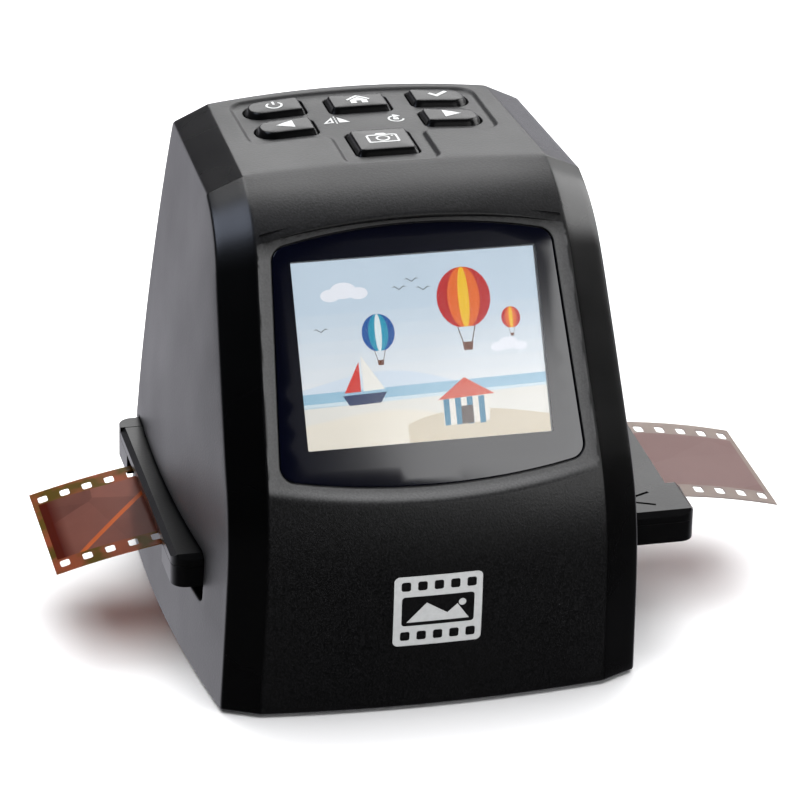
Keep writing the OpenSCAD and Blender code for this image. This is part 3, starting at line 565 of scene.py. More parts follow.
SUNK_EASE = 0.12  # softness of the line where the panel dips under the recess
LIP_ROLL, LIP_FADE = 1.7, 8.0  # rounding of the brow's lip, and where it fades at the ends
FLAT_RING = 0.35  # flat border round the window's pocket, before its rounding
RECESS_RIM = 0.7  # the recess runs out this far inside the panel's edge


def past_ledge(x, v):
    """How far down the ledge under the window a place lies: 0 at its start, 1 at its end."""
    return (-arch_v(x, *WINDOW_FOOT) - LEDGE_GAP - v) / LEDGE_W


def sunk(points, s):
    """The panel below the brow: cut flat round the window, with a soft ledge under it."""
    x = points[..., 0]
    v, w = on_screen(points)
    low = (w + FACE_LIFT - np.sqrt((w - FACE_LIFT) ** 2 + SUNK_EASE ** 2)) / 2
    fade = smoothstep((np.abs(x) - panel_half(s) + RECESS_RIM) / RECESS_RIM)
    keep = np.maximum(fade, smoothstep(past_ledge(x, v)))
    return from_screen(x, v, low + (w - low) * keep)


def surround_mark_shaded_above(points):
    """-1 on the matt surround of the window, weaker above it as painted shade under the brow's lip, 0 on the
    panel under the ledge.
    """
    x = points[..., 0]
    v, _ = on_screen(points)
    above = 1 - smoothstep((past_ledge(x, v) - 0.45) / 0.5)
    # weaker above the window: painted shade under the brow's lip
    return -above * np.interp(v, [19, 22], [1, 0.3])


def side_x(y, z):
    """Half width of the bulging side panels."""
    t = np.clip((y - FRONT_Y - CHAMFER_D) / (REAR_Y - FRONT_Y - CHAMFER_D), 0, 1)
    u = z / CREASE_Z
    front = FRONT_W / 2 - lean_in(z)
    lean = 0.3 * u + 0.7 * u * u  # share of the narrowing at the rear that is reached
    rear = (REAR_W + (REAR_TOP_W - REAR_W) * lean) / 2
    return front + (rear - front) * t + SIDE_BULGE * (1 - u * u) * 4 * t * (1 - t)


OUTER = edge_line(CHAMFER_D)[0]
OUTER_HALF = edge_x(EDGE[:, 0], EDGE[:, 1]) + CHAMFER_W
OUTER_MISS = OUTER_HALF - side_x(OUTER[:, 0], OUTER[:, 1])
MISS_FADE = 18.0


def side_half(y, z):
    """The same, moved near the chamfers so that the panels meet them."""
    y, z = np.asarray(y, float), np.asarray(z, float)
    d2 = (y[..., None] - OUTER[:, 0]) ** 2 + (z[..., None] - OUTER[:, 1]) ** 2
    weight = 1 / (d2 + 0.5)
    miss = (weight * OUTER_MISS).sum(-1) / weight.sum(-1)
    return side_x(y, z) + miss * np.exp(-np.sqrt(d2.min(-1)) / MISS_FADE)


def bezier(a, b, c, steps):
    """Rows of points from a to c, drawn towards b."""
    rows = []
    for k in range(steps + 1):
        t = k / steps
        rows.append((1 - t) ** 2 * a + 2 * t * (1 - t) * b + t * t * c)
    return rows


def arch_v(x, half, mid, sag):
    """Height of an arc over its chord's middle: it sags by its last size at half its width."""
    r = (half * half + sag * sag) / (2 * sag)
    return mid - r + np.sqrt(r * r - np.asarray(x, float) ** 2)


def window_outline(grow=0.0):
    """The window in the display's coordinates, anticlockwise, grown all round."""
    sides = []
    for sign, (half, mid, sag) in ((-1, WINDOW_FOOT), (1, WINDOW_TOP)):
        xs = np.linspace(-half, half, 19) * -sign
        line = [(x, sign * float(arch_v(x, half, mid, sag))) for x in xs]
        sides.append([line[0], *line[2:-2], line[-1]])
    foot, top = sides
    radii = [0.0] * len(foot + top)
    for corner in (0, len(foot) - 1, len(foot), len(foot + top) - 1):
        radii[corner] = WINDOW_R
    return grown(spaced(round_polygon(foot + top, radii), 1.0), grow)


def island_outline(grow=0.0):
    """Edge of the sunk field round the buttons, in plan, anticlockwise."""
    points = [(-STEM_HALF, STEM_FRONT), (STEM_HALF, STEM_FRONT), (STEM_HALF, ISLAND_FRONT),
              (ISLAND_HALF, ISLAND_FRONT), (ISLAND_HALF, ISLAND_REAR), (-ISLAND_HALF, ISLAND_REAR),
              (-ISLAND_HALF, ISLAND_FRONT), (-STEM_HALF, ISLAND_FRONT)]
    radii = [2.5, 2.5, 2.2, 3, 3, 3, 3, 2.2]
    return grown(spaced(round_polygon(points, radii), 1.2), grow)


def key_outline(key, grow=0.0):
    """A button's outline in plan, anticlockwise, grown all round."""
    w, d = key.width / 2 + grow, key.depth / 2 + grow
    corners = [(key.x - w, key.y - d), (key.x + w, key.y - d), (key.x + w, key.y + d), (key.x - w, key.y + d)]
    left, right = key.left_r + grow, key.right_r + grow
    return round_polygon(corners, [left, right, right, left])


def slot_outline(grow=0.0):
    """The tray's slot in a side panel, seen from the side."""
    (y0, y1), (z0, z1) = SLOT_Y, SLOT_Z
    outline = box_outline(y0 - grow, z0 - grow, y1 + grow, z1 + grow, SLOT_R + grow, 0.5)
    return spaced(outline, 1.2)


GRID = 1.3  # distance between the points of the housing's surfaces
LIP_POINTS = 67
WINDOW_GAP = 0.15  # round the window in its pocket
DISPLAY_EDGE = 1.15  # the pocket's floor ends this far outside the picture
WELL_R, POCKET_R, ISLAND_R, SLOT_EASE, DISPLAY_R = 0.2, 0.25, 0.9, 0.5, 0.15


def brow_lip(skin, half):
    """The rounded lip above the recess, which runs out at the panel's edges.

    Returns the point of the edge line where it does, its places across the panel, and those
    of its lower and upper edge along it.
    """
    wanted = arch_v(half, *ARCH)
    reach = on_screen(panel(half, RUN))[0]
    turn = int(np.argmin(np.abs(reach - wanted)))
    miss = reach[turn] - wanted[turn]
    xs = np.linspace(-half[turn], half[turn], LIP_POINTS)
    arc = arch_v(xs, *ARCH) + miss * (np.abs(xs) / half[turn]) ** 4

    def along(heights):
        run = at_height(xs, heights)
        run[0] = run[-1] = RUN[turn]
        return run

    low = along(arc)
    on_body = panel(xs, low)
    on_recess = sunk(on_body, low)
    step = on_screen(on_body)[1] - on_screen(on_recess)[1]
    roll = np.minimum(LIP_ROLL, 0.9 * step) * smoothstep((half[turn] - np.abs(xs)) / LIP_FADE)
    high = along(arc + roll)
    drop = np.concatenate([np.zeros((len(xs), 1)), np.outer(step * 0.75, OUT_SCREEN)], axis=1)
    lip = bezier(panel(xs, high), on_body, on_body - drop, 6)
    skin.strip(lip + [on_recess])
    return turn, xs, low, high


def front_guides(half):
    """Places where the front needs points: along the ledge and the sides of the recess."""
    guides = []
    across = np.arange(-half[0], half[0], 1.0)
    for k, part in enumerate(np.linspace(0.05, 1.12, 9)):
        xs = across + 0.5 * (k % 2)
        heights = -arch_v(xs, *WINDOW_FOOT) - LEDGE_GAP - part * LEDGE_W
        guides.append(by_height(np.stack([xs, heights], axis=1)))
    heights = np.arange(-24, 22, 0.8)
    run = at_height(np.full(len(heights), half[0] - 3), heights)
    for inset in (RECESS_RIM / 2, RECESS_RIM * 1.05):
        reach = panel_half(run) - inset
        guides += [by_height(np.stack([side * reach, heights], axis=1)) for side in (-1, 1)]
    return np.concatenate(guides)


def window_pocket(skin, hole):
    """The flat ring round the window, the wall of its pocket, and the floor that carries it."""
    flat_rim = by_height(window_outline(WINDOW_GAP + POCKET_R))
    edge = window_outline(WINDOW_GAP)
    around = sunk(on_panel(hole), hole[:, 1])
    rim = sunk(on_panel(flat_rim), flat_rim[:, 1])
    corner = from_screen(edge[:, 0], edge[:, 1], on_screen(rim)[1])
    foot = from_screen(edge[:, 0], edge[:, 1], 0.0)
    down = corner + (foot - corner) * 0.3
    rows = [around] + bezier(rim, corner, down, 4) + [foot]
    marks = np.outer([1, 1] + [0] * (len(rows) - 2), surround_mark_shaded_above(rim))
    skin.strip(rows, closed=True, mark=marks)
    w, h = (size + DISPLAY_EDGE for size in PICTURE)
    opening = spaced(box_outline(-w, -h, w, h), 2.0)
    flat, tris = triangulate(edge, [opening], 2.0)
    skin.add(from_screen(flat[:, 0], flat[:, 1], 0.0), tris)


def lower_front(skin, half, turn, xs, low):
    """The panel below the brow, sunk round the window."""
    foot = np.linspace(-half[0], half[0], 55)
    outer = [(x, 0.0) for x in foot[:-1]]
    outer += [(half[k], RUN[k]) for k in range(turn)]
    outer += list(zip(xs[::-1], low[::-1]))
    outer += [(-half[k], RUN[k]) for k in range(turn - 1, 0, -1)]
    hole = by_height(window_outline(WINDOW_GAP + POCKET_R + FLAT_RING))
    flat, tris = triangulate(outer, [hole], GRID, front_guides(half))
    points = on_panel(flat)
    skin.add(sunk(points, flat[:, 1]), tris, surround_mark_shaded_above(points))
    window_pocket(skin, hole)


def top_panel(skin, half, turn, xs, high):
    """The brow and the top, with the sunk island and the wells of the buttons."""
    outer = list(zip(xs, high))
    outer += [(half[k], RUN[k]) for k in range(turn + 1, len(RUN) - 1)]
    outer += [(x, RUN[-1]) for x in np.linspace(half[-1], -half[-1], 51)]
    outer += [(-half[k], RUN[k]) for k in range(len(RUN) - 2, turn, -1)]
    slope = [by_depth(island_outline(grow)) for grow in np.linspace(ISLAND_R, -ISLAND_R / 2, 9)]
    flat, tris = triangulate(outer, [slope[0]], GRID)
    skin.add(on_panel(flat), tris)
    depths = ISLAND_DEPTH * smoothstep(np.linspace(0, 1, len(slope)))
    skin.strip([on_panel(line, -depth) for line, depth in zip(slope, depths)], closed=True)
    wells = [by_depth(key_outline(key, KEY_GAP + WELL_R)) for key in KEYS.values()]
    flat, tris = triangulate(slope[-1], wells, GRID)
    skin.add(on_panel(flat, -ISLAND_DEPTH), tris)


def beside(side, half, line):
    """Points of a line in side view, put out to half a width on one side."""
    return np.stack([side * half, line[:, 0], line[:, 1]], axis=1)


def chamfer(skin, side, half, beyond):
    """A long chamfer with its roundings, satin and painted darker as shade (mark 1) between them."""
    start = panel(side * half, RUN)
    ridge = beside(side, half + EASE_IN, EDGE)
    outer_ridge = beside(side, OUTER_HALF, OUTER)
    finish = beside(side, side_half(beyond[:, 0], beyond[:, 1]), beyond)
    across = unit(outer_ridge - ridge)
    first = ridge + across * EASE_IN
    last = outer_ridge - across * EASE_OUT
    rows = bezier(start, ridge, first, 4)
    rows += [first + (last - first) * k / 6 for k in range(1, 6)]
    rows += bezier(last, outer_ridge, finish, 5)
    marks = np.interp(np.arange(len(rows)), [0, 3, len(rows) - 4, len(rows) - 1], [0, 1, 1, 0])
    skin.strip(rows, mark=marks)


def side_panel(skin, side, beyond):
    """A side panel with the tray's slot."""
    rear = np.linspace(beyond[-1][1], LOW, 70)[1:-1]
    foot = np.linspace(BACK, beyond[0][0], 66)[:-1]
    outer = [*map(tuple, beyond), *((BACK, z) for z in rear), *((y, LOW) for y in foot)]
    flat, tris = triangulate(outer, [slot_outline(SLOT_EASE)], GRID + 0.2)
    skin.add(beside(side, side_half(flat[:, 0], flat[:, 1]), flat), tris)


def housing_outside(skin):
    """All outward surfaces of the housing, up to the roundings of its openings."""
    half = panel_half(RUN)
    turn, xs, low, high = brow_lip(skin, half)
    lower_front(skin, half, turn, xs, low)
    top_panel(skin, half, turn, xs, high)
    beyond = edge_line(CHAMFER_D + EASE_OUT)[0]
    for side in (-1, 1):
        chamfer(skin, side, half, beyond)
        side_panel(skin, side, beyond)


def edge_loops(bm):
    """The open edges of a surface as closed loops of vertices."""
    open_edges = {e for e in bm.edges if len(e.link_faces) == 1}
    loops = []
    while open_edges:
        edge = open_edges.pop()
        loop = [edge.verts[0], edge.verts[1]]
        while True:
            found = next((e for e in loop[-1].link_edges if e in open_edges), None)
            if found is None:
                break
            open_edges.discard(found)
            vert = found.other_vert(loop[-1])
            if vert is loop[0]:
                break
            loop.append(vert)
        loops.append(loop)
    return loops


def thicken(bm, thickness, easing, steps=4):
    """Gives an open surface its inner skin and rounds the edges of its openings."""
    bm.normal_update()
    faces = list(bm.faces)
    loops = edge_loops(bm)
    normal = {v: v.normal.copy() for v in bm.verts}
    inner = {v: bm.verts.new(v.co - n * thickness(v.co)) for v, n in normal.items()}
    for face in faces:
        bm.faces.new([inner[v] for v in reversed(face.verts)])
    for loop in loops:
        r = easing(loop)
        n = len(loop)
        aim = []
        for k, v in enumerate(loop):
            along = loop[(k + 1) % n].co - loop[k - 1].co
            away = along.cross(normal[v]).normalized()
            if away.dot(v.link_faces[0].calc_center_median() - v.co) > 0:
                away.negate()
            aim.append(away)
        rows = [loop]
        for i in range(1, steps + 1):
            g = math.pi / 2 * i / steps
            shifts = [r * (a * math.sin(g) - normal[v] * (1 - math.cos(g))) for a, v in zip(aim, loop)]
            rows.append([bm.verts.new(v.co + shift) for v, shift in zip(loop, shifts)])
        rows.append([bm.verts.new(inner[v].co + a * r) for a, v in zip(aim, loop)])
        rows.append([inner[v] for v in loop])
        for a, b in zip(rows, rows[1:]):
            for k in range(n):
                bm.faces.new([a[k], a[(k + 1) % n], b[(k + 1) % n], b[k]])
    face_out(bm)


LEDGE_WALL, RECESS_WALL, ISLAND_WALL = 0.9, 1.7, 1.5  # thickness under the window, round it and on top
RECESS_HALF, RECESS_V = 31, (-28, 25)  # where the recess is


def housing_wall(co):
    """Thickness of the housing behind a place on its outside."""
    v, w = (float(a) for a in on_screen(np.array(co)))
    low, high = RECESS_V
    if abs(co.x) < RECESS_HALF and low < v < high and -0.5 < w < 1.2:
        return LEDGE_WALL if w < 0.5 else RECESS_WALL
    in_island = abs(co.x) < ISLAND_HALF + 0.05 and STEM_FRONT < co.y < ISLAND_REAR
    return ISLAND_WALL if in_island and co.z > 90 else WALL


def opening_easing(loop):
    """Rounding round an opening: the housing's rim, a slot, a well or the display's opening."""
    size = np.ptp(np.array([v.co for v in loop]), axis=0)
    if size.max() > 70:
        return RIM_R
    if size[1] > 50:
        return SLOT_EASE
    return WELL_R if size[0] < 20 else DISPLAY_R


def housing_mesh():
    skin = Skin()
    housing_outside(skin)
    bm = face_out(skin.mesh(0.004))
    bm.normal_update()
    top = max(bm.faces, key=lambda f: f.calc_center_median().z)
    if top.normal.z < 0:
        bmesh.ops.reverse_faces(bm, faces=bm.faces)
    thicken(bm, housing_wall, opening_easing)
    return bm


# ---------------------------------------------------------------- finishes
class Nodes:
    """A node tree under construction."""

    def __init__(self, tree):
        self.tree = tree

    def join(self, source, target):
        self.tree.links.new(source, target)

    def node(self, kind, inputs=(), **settings):
        """A new node; its inputs are given by name or number, as values or as sockets to join."""
        node = self.tree.nodes.new(kind)
        for name, value in settings.items():
            setattr(node, name, value)
        for name, value in dict(inputs).items():
            if isinstance(value, bpy.types.NodeSocket):
                self.join(value, node.inputs[name])
            else:
                node.inputs[name].default_value = value
        return node

    def math(self, operation, a, b=0.0):
        return self.node("ShaderNodeMath", {0: a, 1: b}, operation=operation).outputs[0]

    def between(self, factor, low, high, start=0.0, stop=1.0):
        """A number that runs from low to high while the factor runs from start to stop."""
        return self.node("ShaderNodeMapRange", {
            "Value": factor, "From Min": start, "From Max": stop, "To Min": low, "To Max": high,
        }).outputs[0]


class Finish(Nodes):
    """A material under construction: its shader and the nodes that feed it."""

    def __init__(self, name, colour=(0.5, 0.5, 0.5), roughness=0.5, **settings):
        self.material = bpy.data.materials.new(name)
        self.material.use_nodes = True
        super().__init__(self.material.node_tree)
        self.shader = self.tree.nodes["Principled BSDF"]
        self.set("Base Color", (*colour, 1.0))
        self.set("Roughness", roughness)
        for socket, value in settings.items():
            self.set(socket.replace("_", " "), value)
        self.where = self.tree.nodes.new("ShaderNodeTexCoord").outputs["Object"]

    def set(self, socket, value):
        self.shader.inputs[socket].default_value = value

    def noise(self, scale, detail=2.0, where=None, stretch=None):
        where = where or self.where
        if stretch:
            where = self.node("ShaderNodeMapping", {"Vector": where, "Scale": stretch}).outputs[0]
        return self.node("ShaderNodeTexNoise",
                         {"Vector": where, "Scale": scale, "Detail": detail}).outputs["Fac"]

    def blend(self, factor, a, b, **settings):
        """A colour that runs from a to b with the factor."""
        a, b = (c if isinstance(c, bpy.types.NodeSocket) else (*c, 1.0) for c in (a, b))
        return self.node("ShaderNodeMix", {0: factor, 6: a, 7: b}, data_type="RGBA", **settings).outputs[2]

    def attribute(self, name):
        return self.node("ShaderNodeAttribute", attribute_name=name).outputs["Fac"]

    def feed(self, socket, source):
        self.join(source, self.shader.inputs[socket])
        return self

    def bump(self, height, strength, depth):
        node = self.node("ShaderNodeBump", {"Height": height, "Strength": strength, "Distance": depth})
        return self.feed("Normal", node.outputs[0])


def moulded(name, colour, roughness, grain=2600, depth=0.00006, strength=0.35, tint=0.25, **settings):
    """Moulded plastic: fine spark-eroded grain, and broad changes of tone and gloss."""
    finish = Finish(name, colour, roughness, **settings)
    broad = finish.noise(45, 3)
    light = tuple(min(1, c * (1 + tint) + 0.001) for c in colour)
    dark = tuple(c * (1 - tint) for c in colour)
    finish.feed("Base Color", finish.blend(broad, dark, light))
    finish.feed("Roughness", finish.between(broad, roughness - 0.05, roughness + 0.05, 0.3, 0.7))
    finish.bump(finish.noise(grain, 3), strength, depth)
    return finish


def case_finish(look):
    """Grained black panels, satin chamfers painted darker than the panels as painted shade (mark 1), and a
    matt surround round the window (mark -1), weaker above it as painted shade under the brow's lip.
    """
    finish = Finish("case_black", look.case_colour[:], look.case_roughness)
    mark = finish.attribute("mark")
    satin = finish.math("MAXIMUM", mark, 0.0)
    # share of the surround's grey; where the mark is weaker above the window, this paints shade
    matt = finish.math("MAXIMUM", finish.math("MULTIPLY", mark, -1.0), 0.0)
    grain = finish.noise(2300, 2)
    broad = finish.noise(38, 3)
    dark, light = (tuple(c * k for c in look.case_colour) for k in (0.5, 1.9))
    black = finish.blend(finish.between(grain, 0, 1, 0.4, 0.66), dark, light)
    soft = tuple(c * 0.8 for c in look.surround_colour)
    grey = finish.blend(finish.between(grain, 0, 1, 0.35, 0.65), soft, look.surround_colour[:])
    # chamfers coloured 0.15 of the housing's black: painted shade on the same plastic as the panels
    black = finish.blend(satin, black, tuple(c * 0.15 for c in look.case_colour))
    finish.feed("Base Color", finish.blend(matt, black, grey))
    rough = finish.between(broad, look.case_roughness - 0.03, look.case_roughness + 0.05, 0.3, 0.7)
    rough = finish.math("ADD", rough, finish.math("MULTIPLY", matt, 0.12))
    smoother = finish.math("MULTIPLY", satin, look.case_roughness - look.chamfer_roughness)
    finish.feed("Roughness", finish.math("SUBTRACT", rough, smoother))
    relief = finish.math("SUBTRACT", 1.0, finish.math("MULTIPLY", satin, 0.75))
    finish.bump(finish.math("MULTIPLY", grain, relief), 1.0, 0.00004)
    finish.set("Specular IOR Level", 0.4)
    return finish.material


def plated(name, colour, roughness=0.28):
    """Plated or drawn sheet metal with a fine brushed grain."""
    finish = Finish(name, colour, roughness, Metallic=1.0)
    lines = finish.noise(900, 2, stretch=(0.15, 1.0, 1.0))
    finish.feed("Roughness", finish.between(lines, roughness - 0.07, roughness + 0.12, 0.3, 0.7))
    finish.bump(lines, 0.15, 0.00002)
    return finish.material


CAN_Z, PLUNGER_Z = 1.6, 3.55  # where cans and plungers begin, above the face of their board


def circuit_board():
    """Green solder mask with darker tracks under it and a row of tinned pads."""
    finish = Finish("circuit_board", (0.01, 0.09, 0.03), 0.35)
    tracks = finish.node("ShaderNodeTexBrick", {
        "Vector": finish.where, "Color1": (0.012, 0.115, 0.04, 1), "Color2": (0.01, 0.1, 0.034, 1),
        "Mortar": (0.004, 0.05, 0.018, 1), "Scale": 130.0, "Mortar Size": 0.03, "Bias": 0.0,
    }).outputs["Color"]
    finish.feed("Base Color", tracks)
    finish.bump(finish.noise(700, 2), 0.12, 0.00003)
    return finish.material


def flex_finish():
    finish = Finish("flex_cable", (0.33, 0.13, 0.035), 0.35)
    lines = finish.node("ShaderNodeTexWave", {"Vector": finish.where, "Scale": 320.0}, bands_direction="X")
    finish.feed("Base Color", finish.blend(lines.outputs["Fac"], (0.42, 0.19, 0.06), (0.22, 0.08, 0.02)))
    finish.bump(finish.noise(900, 2), 0.1, 0.00002)
    return finish.material


def cap_finish(look):
    finish = moulded("cap_black", (0.0015, 0.0015, 0.0017), look.cap_roughness, 2400, 0.00002, 0.2)
    finish.set("Specular IOR Level", 0.17)
    return finish.material


def window_tint():
    finish = Finish("window_tint", (0.9, 0.91, 0.94), 0.1, Transmission_Weight=1.0, IOR=1.49)
    wipe = finish.noise(26, 3)
    finish.feed("Roughness", finish.between(wipe, 0.085, 0.13, 0.35, 0.75))
    return finish.material


def window_print():
    """The window's black border: gloss over a print that is nearly black and a little blue."""
    finish = Finish("window_print", (0.001, 0.0015, 0.005), 0.1, IOR=1.7)
    tone = finish.blend(finish.noise(60, 3), (0.0006, 0.0008, 0.003), (0.0012, 0.0016, 0.006))
    finish.feed("Base Color", tone)
    finish.feed("Roughness", finish.between(finish.noise(26, 3), 0.085, 0.13, 0.35, 0.75))
    return finish.material


def picture_finish(look):
    """The lit picture: its colours are the mesh's own, with faint changes of brightness."""
    finish = Finish("lit_picture", (0, 0, 0), 0.4)
    colour = finish.node("ShaderNodeAttribute", attribute_name="tone").outputs["Color"]
    soft = finish.blend(finish.noise(85, 4), (0.94, 0.94, 0.94), (1.05, 1.05, 1.05))
    finish.feed("Emission Color", finish.blend(1.0, colour, soft, blend_type="MULTIPLY"))
    finish.set("Emission Strength", look.picture_brightness)
    return finish.material


def rubber_finish():
    return moulded("foot_rubber", (0.018, 0.018, 0.018), 0.8, 1500, 0.00008, 0.5).material


def lens_finish():
    finish = Finish("lens_glass", (0.85, 0.95, 0.92), 0.02, Transmission_Weight=1.0, IOR=1.52)
    finish.set("Coat Weight", 0.5)
    finish.set("Coat Tint", (0.75, 0.85, 1.0, 1.0))
    finish.feed("Roughness", finish.between(finish.noise(150, 2), 0.01, 0.04))
    return finish.material


def chip_finish():
    """Black chip resin, silver on the cans that stand above it."""
    finish = Finish("chip_resin", (0.012, 0.012, 0.013), 0.45)
    tall = finish.node("ShaderNodeSeparateXYZ", {0: finish.where}).outputs["Z"]
    top = (node_box("main_board")[1][2] + CAN_Z) * MM
    can = finish.math("GREATER_THAN", tall, top)
    finish.feed("Base Color", finish.blend(can, (0.012, 0.012, 0.013), (0.55, 0.55, 0.56)))
    finish.feed("Metallic", can)
    finish.bump(finish.noise(1800, 2), 0.2, 0.00003)
    return finish.material


def switch_finish():
    """Stamped switch frames, with a black plunger above them."""
    finish = Finish("switch_frame", (0.6, 0.6, 0.6), 0.32)
    tall = finish.node("ShaderNodeSeparateXYZ", {0: finish.where}).outputs["Z"]
    top = (node_box("button_board")[1][2] + PLUNGER_Z) * MM
    plunger = finish.math("GREATER_THAN", tall, top)
    finish.feed("Base Color", finish.blend(plunger, (0.6, 0.6, 0.6), (0.01, 0.01, 0.01)))
    finish.feed("Metallic", finish.math("SUBTRACT", 1.0, plunger))
    finish.bump(finish.noise(1200, 2), 0.15, 0.00003)
    return finish.material


FRAME_FROM, FRAME_PITCH, FRAME_HALF = -0.0705, 0.038, 0.0121  # the film's frames, in metres


def film_finish(look):
    """Developed negative stock: orange-brown base, denser frames with soft generic shapes; painted shade
    makes the left end darker and warmer, and the right end is paler and greyer.
    """
    finish = Finish("film_stock", (0.2, 0.06, 0.03), 0.28, IOR=1.1)
    along, across = finish.attribute("along"), finish.attribute("across")
    frame_number = finish.math("DIVIDE", finish.math("SUBTRACT", along, FRAME_FROM), FRAME_PITCH)
    part = finish.math("FRACT", frame_number)
    inner = finish.math("MULTIPLY", finish.math("GREATER_THAN", part, 0.03),
                        finish.math("LESS_THAN", part, 0.97))
    band = finish.math("LESS_THAN", finish.math("ABSOLUTE", across), FRAME_HALF)
    picture = finish.math("MULTIPLY", inner, band)
    spot = finish.node("ShaderNodeCombineXYZ", {0: along, 1: across,
                                                2: finish.math("FLOOR", frame_number)}).outputs[0]
    shapes = finish.node("ShaderNodeTexVoronoi", {"Vector": spot, "Scale": 52.0}).outputs["Color"]
    shapes = finish.node("ShaderNodeSeparateXYZ", {0: shapes}).outputs[0]
    cloud = finish.noise(110, 3, where=spot)
    tone = finish.math("ADD", finish.math("MULTIPLY", shapes, 0.65), finish.math("MULTIPLY", cloud, 0.35))
    # 0 at the left end, in painted shade (dark and warm), up to 1 at the right end (pale grey)
    cool = finish.between(along, 0, 1, -0.045, 0.03)
    fine = finish.noise(300, 3, where=spot)
    patches = finish.between(finish.noise(170, 2, where=spot), 0, 1, 0.42, 0.6)
    warm_base = finish.blend(patches, (0.07, 0.045, 0.006), (0.2, 0.05, 0.022))
    cool_base = finish.blend(fine, (0.19, 0.155, 0.14), (0.25, 0.205, 0.18))
    near_end = finish.between(finish.math("ABSOLUTE", finish.math("SUBTRACT", part, 0.5)), 0, 1, 0.36, 0.43)
    warm = finish.blend(tone, (0.055, 0.02, 0.016), (0.2, 0.075, 0.055))
    warm = finish.blend(near_end, warm, (0.05, 0.004, 0.001))
    slant = finish.math("SUBTRACT", along, finish.math("MULTIPLY", across, 0.9))
    streak = finish.math("FRACT", finish.math("MULTIPLY", slant, 26.0))
    streak = finish.math("LESS_THAN", finish.math("ABSOLUTE", finish.math("SUBTRACT", streak, 0.62)), 0.02)
    warm = finish.blend(streak, warm, (0.36, 0.08, 0.02))
    grey = finish.blend(tone, (0.15, 0.09, 0.085), (0.19, 0.125, 0.118))
    colour = finish.blend(picture, finish.blend(cool, warm_base, cool_base), finish.blend(cool, warm, grey))
    finish.feed("Base Color", colour)
    finish.set("Transmission Weight", look.film_clearness)
    finish.bump(finish.noise(260, 2), 0.05, 0.00002)
    return finish.material


def white_print():
    finish = Finish("white_print", (0.62, 0.62, 0.63), 0.5)
    finish.feed("Base Color", finish.blend(finish.noise(900, 2), (0.4, 0.41, 0.41), (0.5, 0.51, 0.51)))
    finish.bump(finish.noise(2400, 2), 0.1, 0.00002)
    return finish.material


def plain_plastic(name, colour, roughness):
    finish = moulded(name, colour, roughness, 1700, 0.00005, 0.3)
    finish.set("Specular IOR Level", 0.22)
    return finish.material


LOOKS = {}


def look_of(name):
    """Each finish is made once, when the first piece asks for it."""
    if name not in LOOKS:
        look = bpy.context.scene.scanner_look
        made = {
            "case": lambda: case_finish(look),
            "cover": lambda: plain_plastic("cover_black", (0.0065, 0.0065, 0.007), 0.46),
            "cap": lambda: cap_finish(look),
            "tray": lambda: plain_plastic("tray_black", (0.0018, 0.0018, 0.0021), 0.3),
            "inner": lambda: plain_plastic("inner_black", (0.02, 0.02, 0.021), 0.55),
            "jack": lambda: plain_plastic("jack_black", (0.01, 0.01, 0.01), 0.4),
            "optic": lambda: plain_plastic("optic_black", (0.006, 0.006, 0.006), 0.7),
            "steel": lambda: plated("plated_steel", (0.62, 0.61, 0.59)),
            "spring": lambda: plated("spring_steel", (0.5, 0.5, 0.5), 0.22),
            "board": circuit_board,
            "flex": flex_finish,
            "chips": chip_finish,
            "switch": switch_finish,
            "window": window_tint,
            "print": window_print,
            "picture": lambda: picture_finish(look),
            "lcd": lambda: plain_plastic("panel_body", (0.35, 0.36, 0.37), 0.4),
            "rubber": rubber_finish,
            "lens": lens_finish,
            "sensor": lambda: plain_plastic("sensor_face", (0.03, 0.03, 0.05), 0.15),
            "led": lambda: plain_plastic("led_phosphor", (0.75, 0.62, 0.2), 0.4),
            "white_board": lambda: plain_plastic("white_board", (0.72, 0.73, 0.72), 0.45),
            "opal": lambda: plain_plastic("opal_sheet", (0.82, 0.82, 0.8), 0.5),
            "film": lambda: film_finish(look),
            "white": white_print,
        }[name]
        LOOKS[name] = made()
    return LOOKS[name]


def dress(node, look):
    """A CAD node that keeps its own shape gets a finish."""
    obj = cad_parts[node]
    if not obj.material_slots:
        obj.data.materials.append(None)
    for place in obj.material_slots:
        place.material = look_of(look)


# ---------------------------------------------------------------- pieces on the front
def add_plate(skin, outline, holes, step, top, bottom):
    """Adds a closed plate over an outline; top and bottom place its two faces."""
    flat, tris = triangulate(outline, holes, step)
    skin.add(top(flat), tris)
    skin.add(bottom(flat), [t[::-1] for t in tris])
    for loop in (outline, *holes):
        skin.strip([top(loop), bottom(loop)], closed=True)


WINDOW_FACE, WINDOW_BACK = FACE_LIFT - 0.1, 0.12
BORDER_T = 0.06  # the black border lies on the clear plate like a thin sheet
BORDER_IN = 0.1  # its opening is this much larger than the picture all round
AIR = 0.005  # between the border and the plate


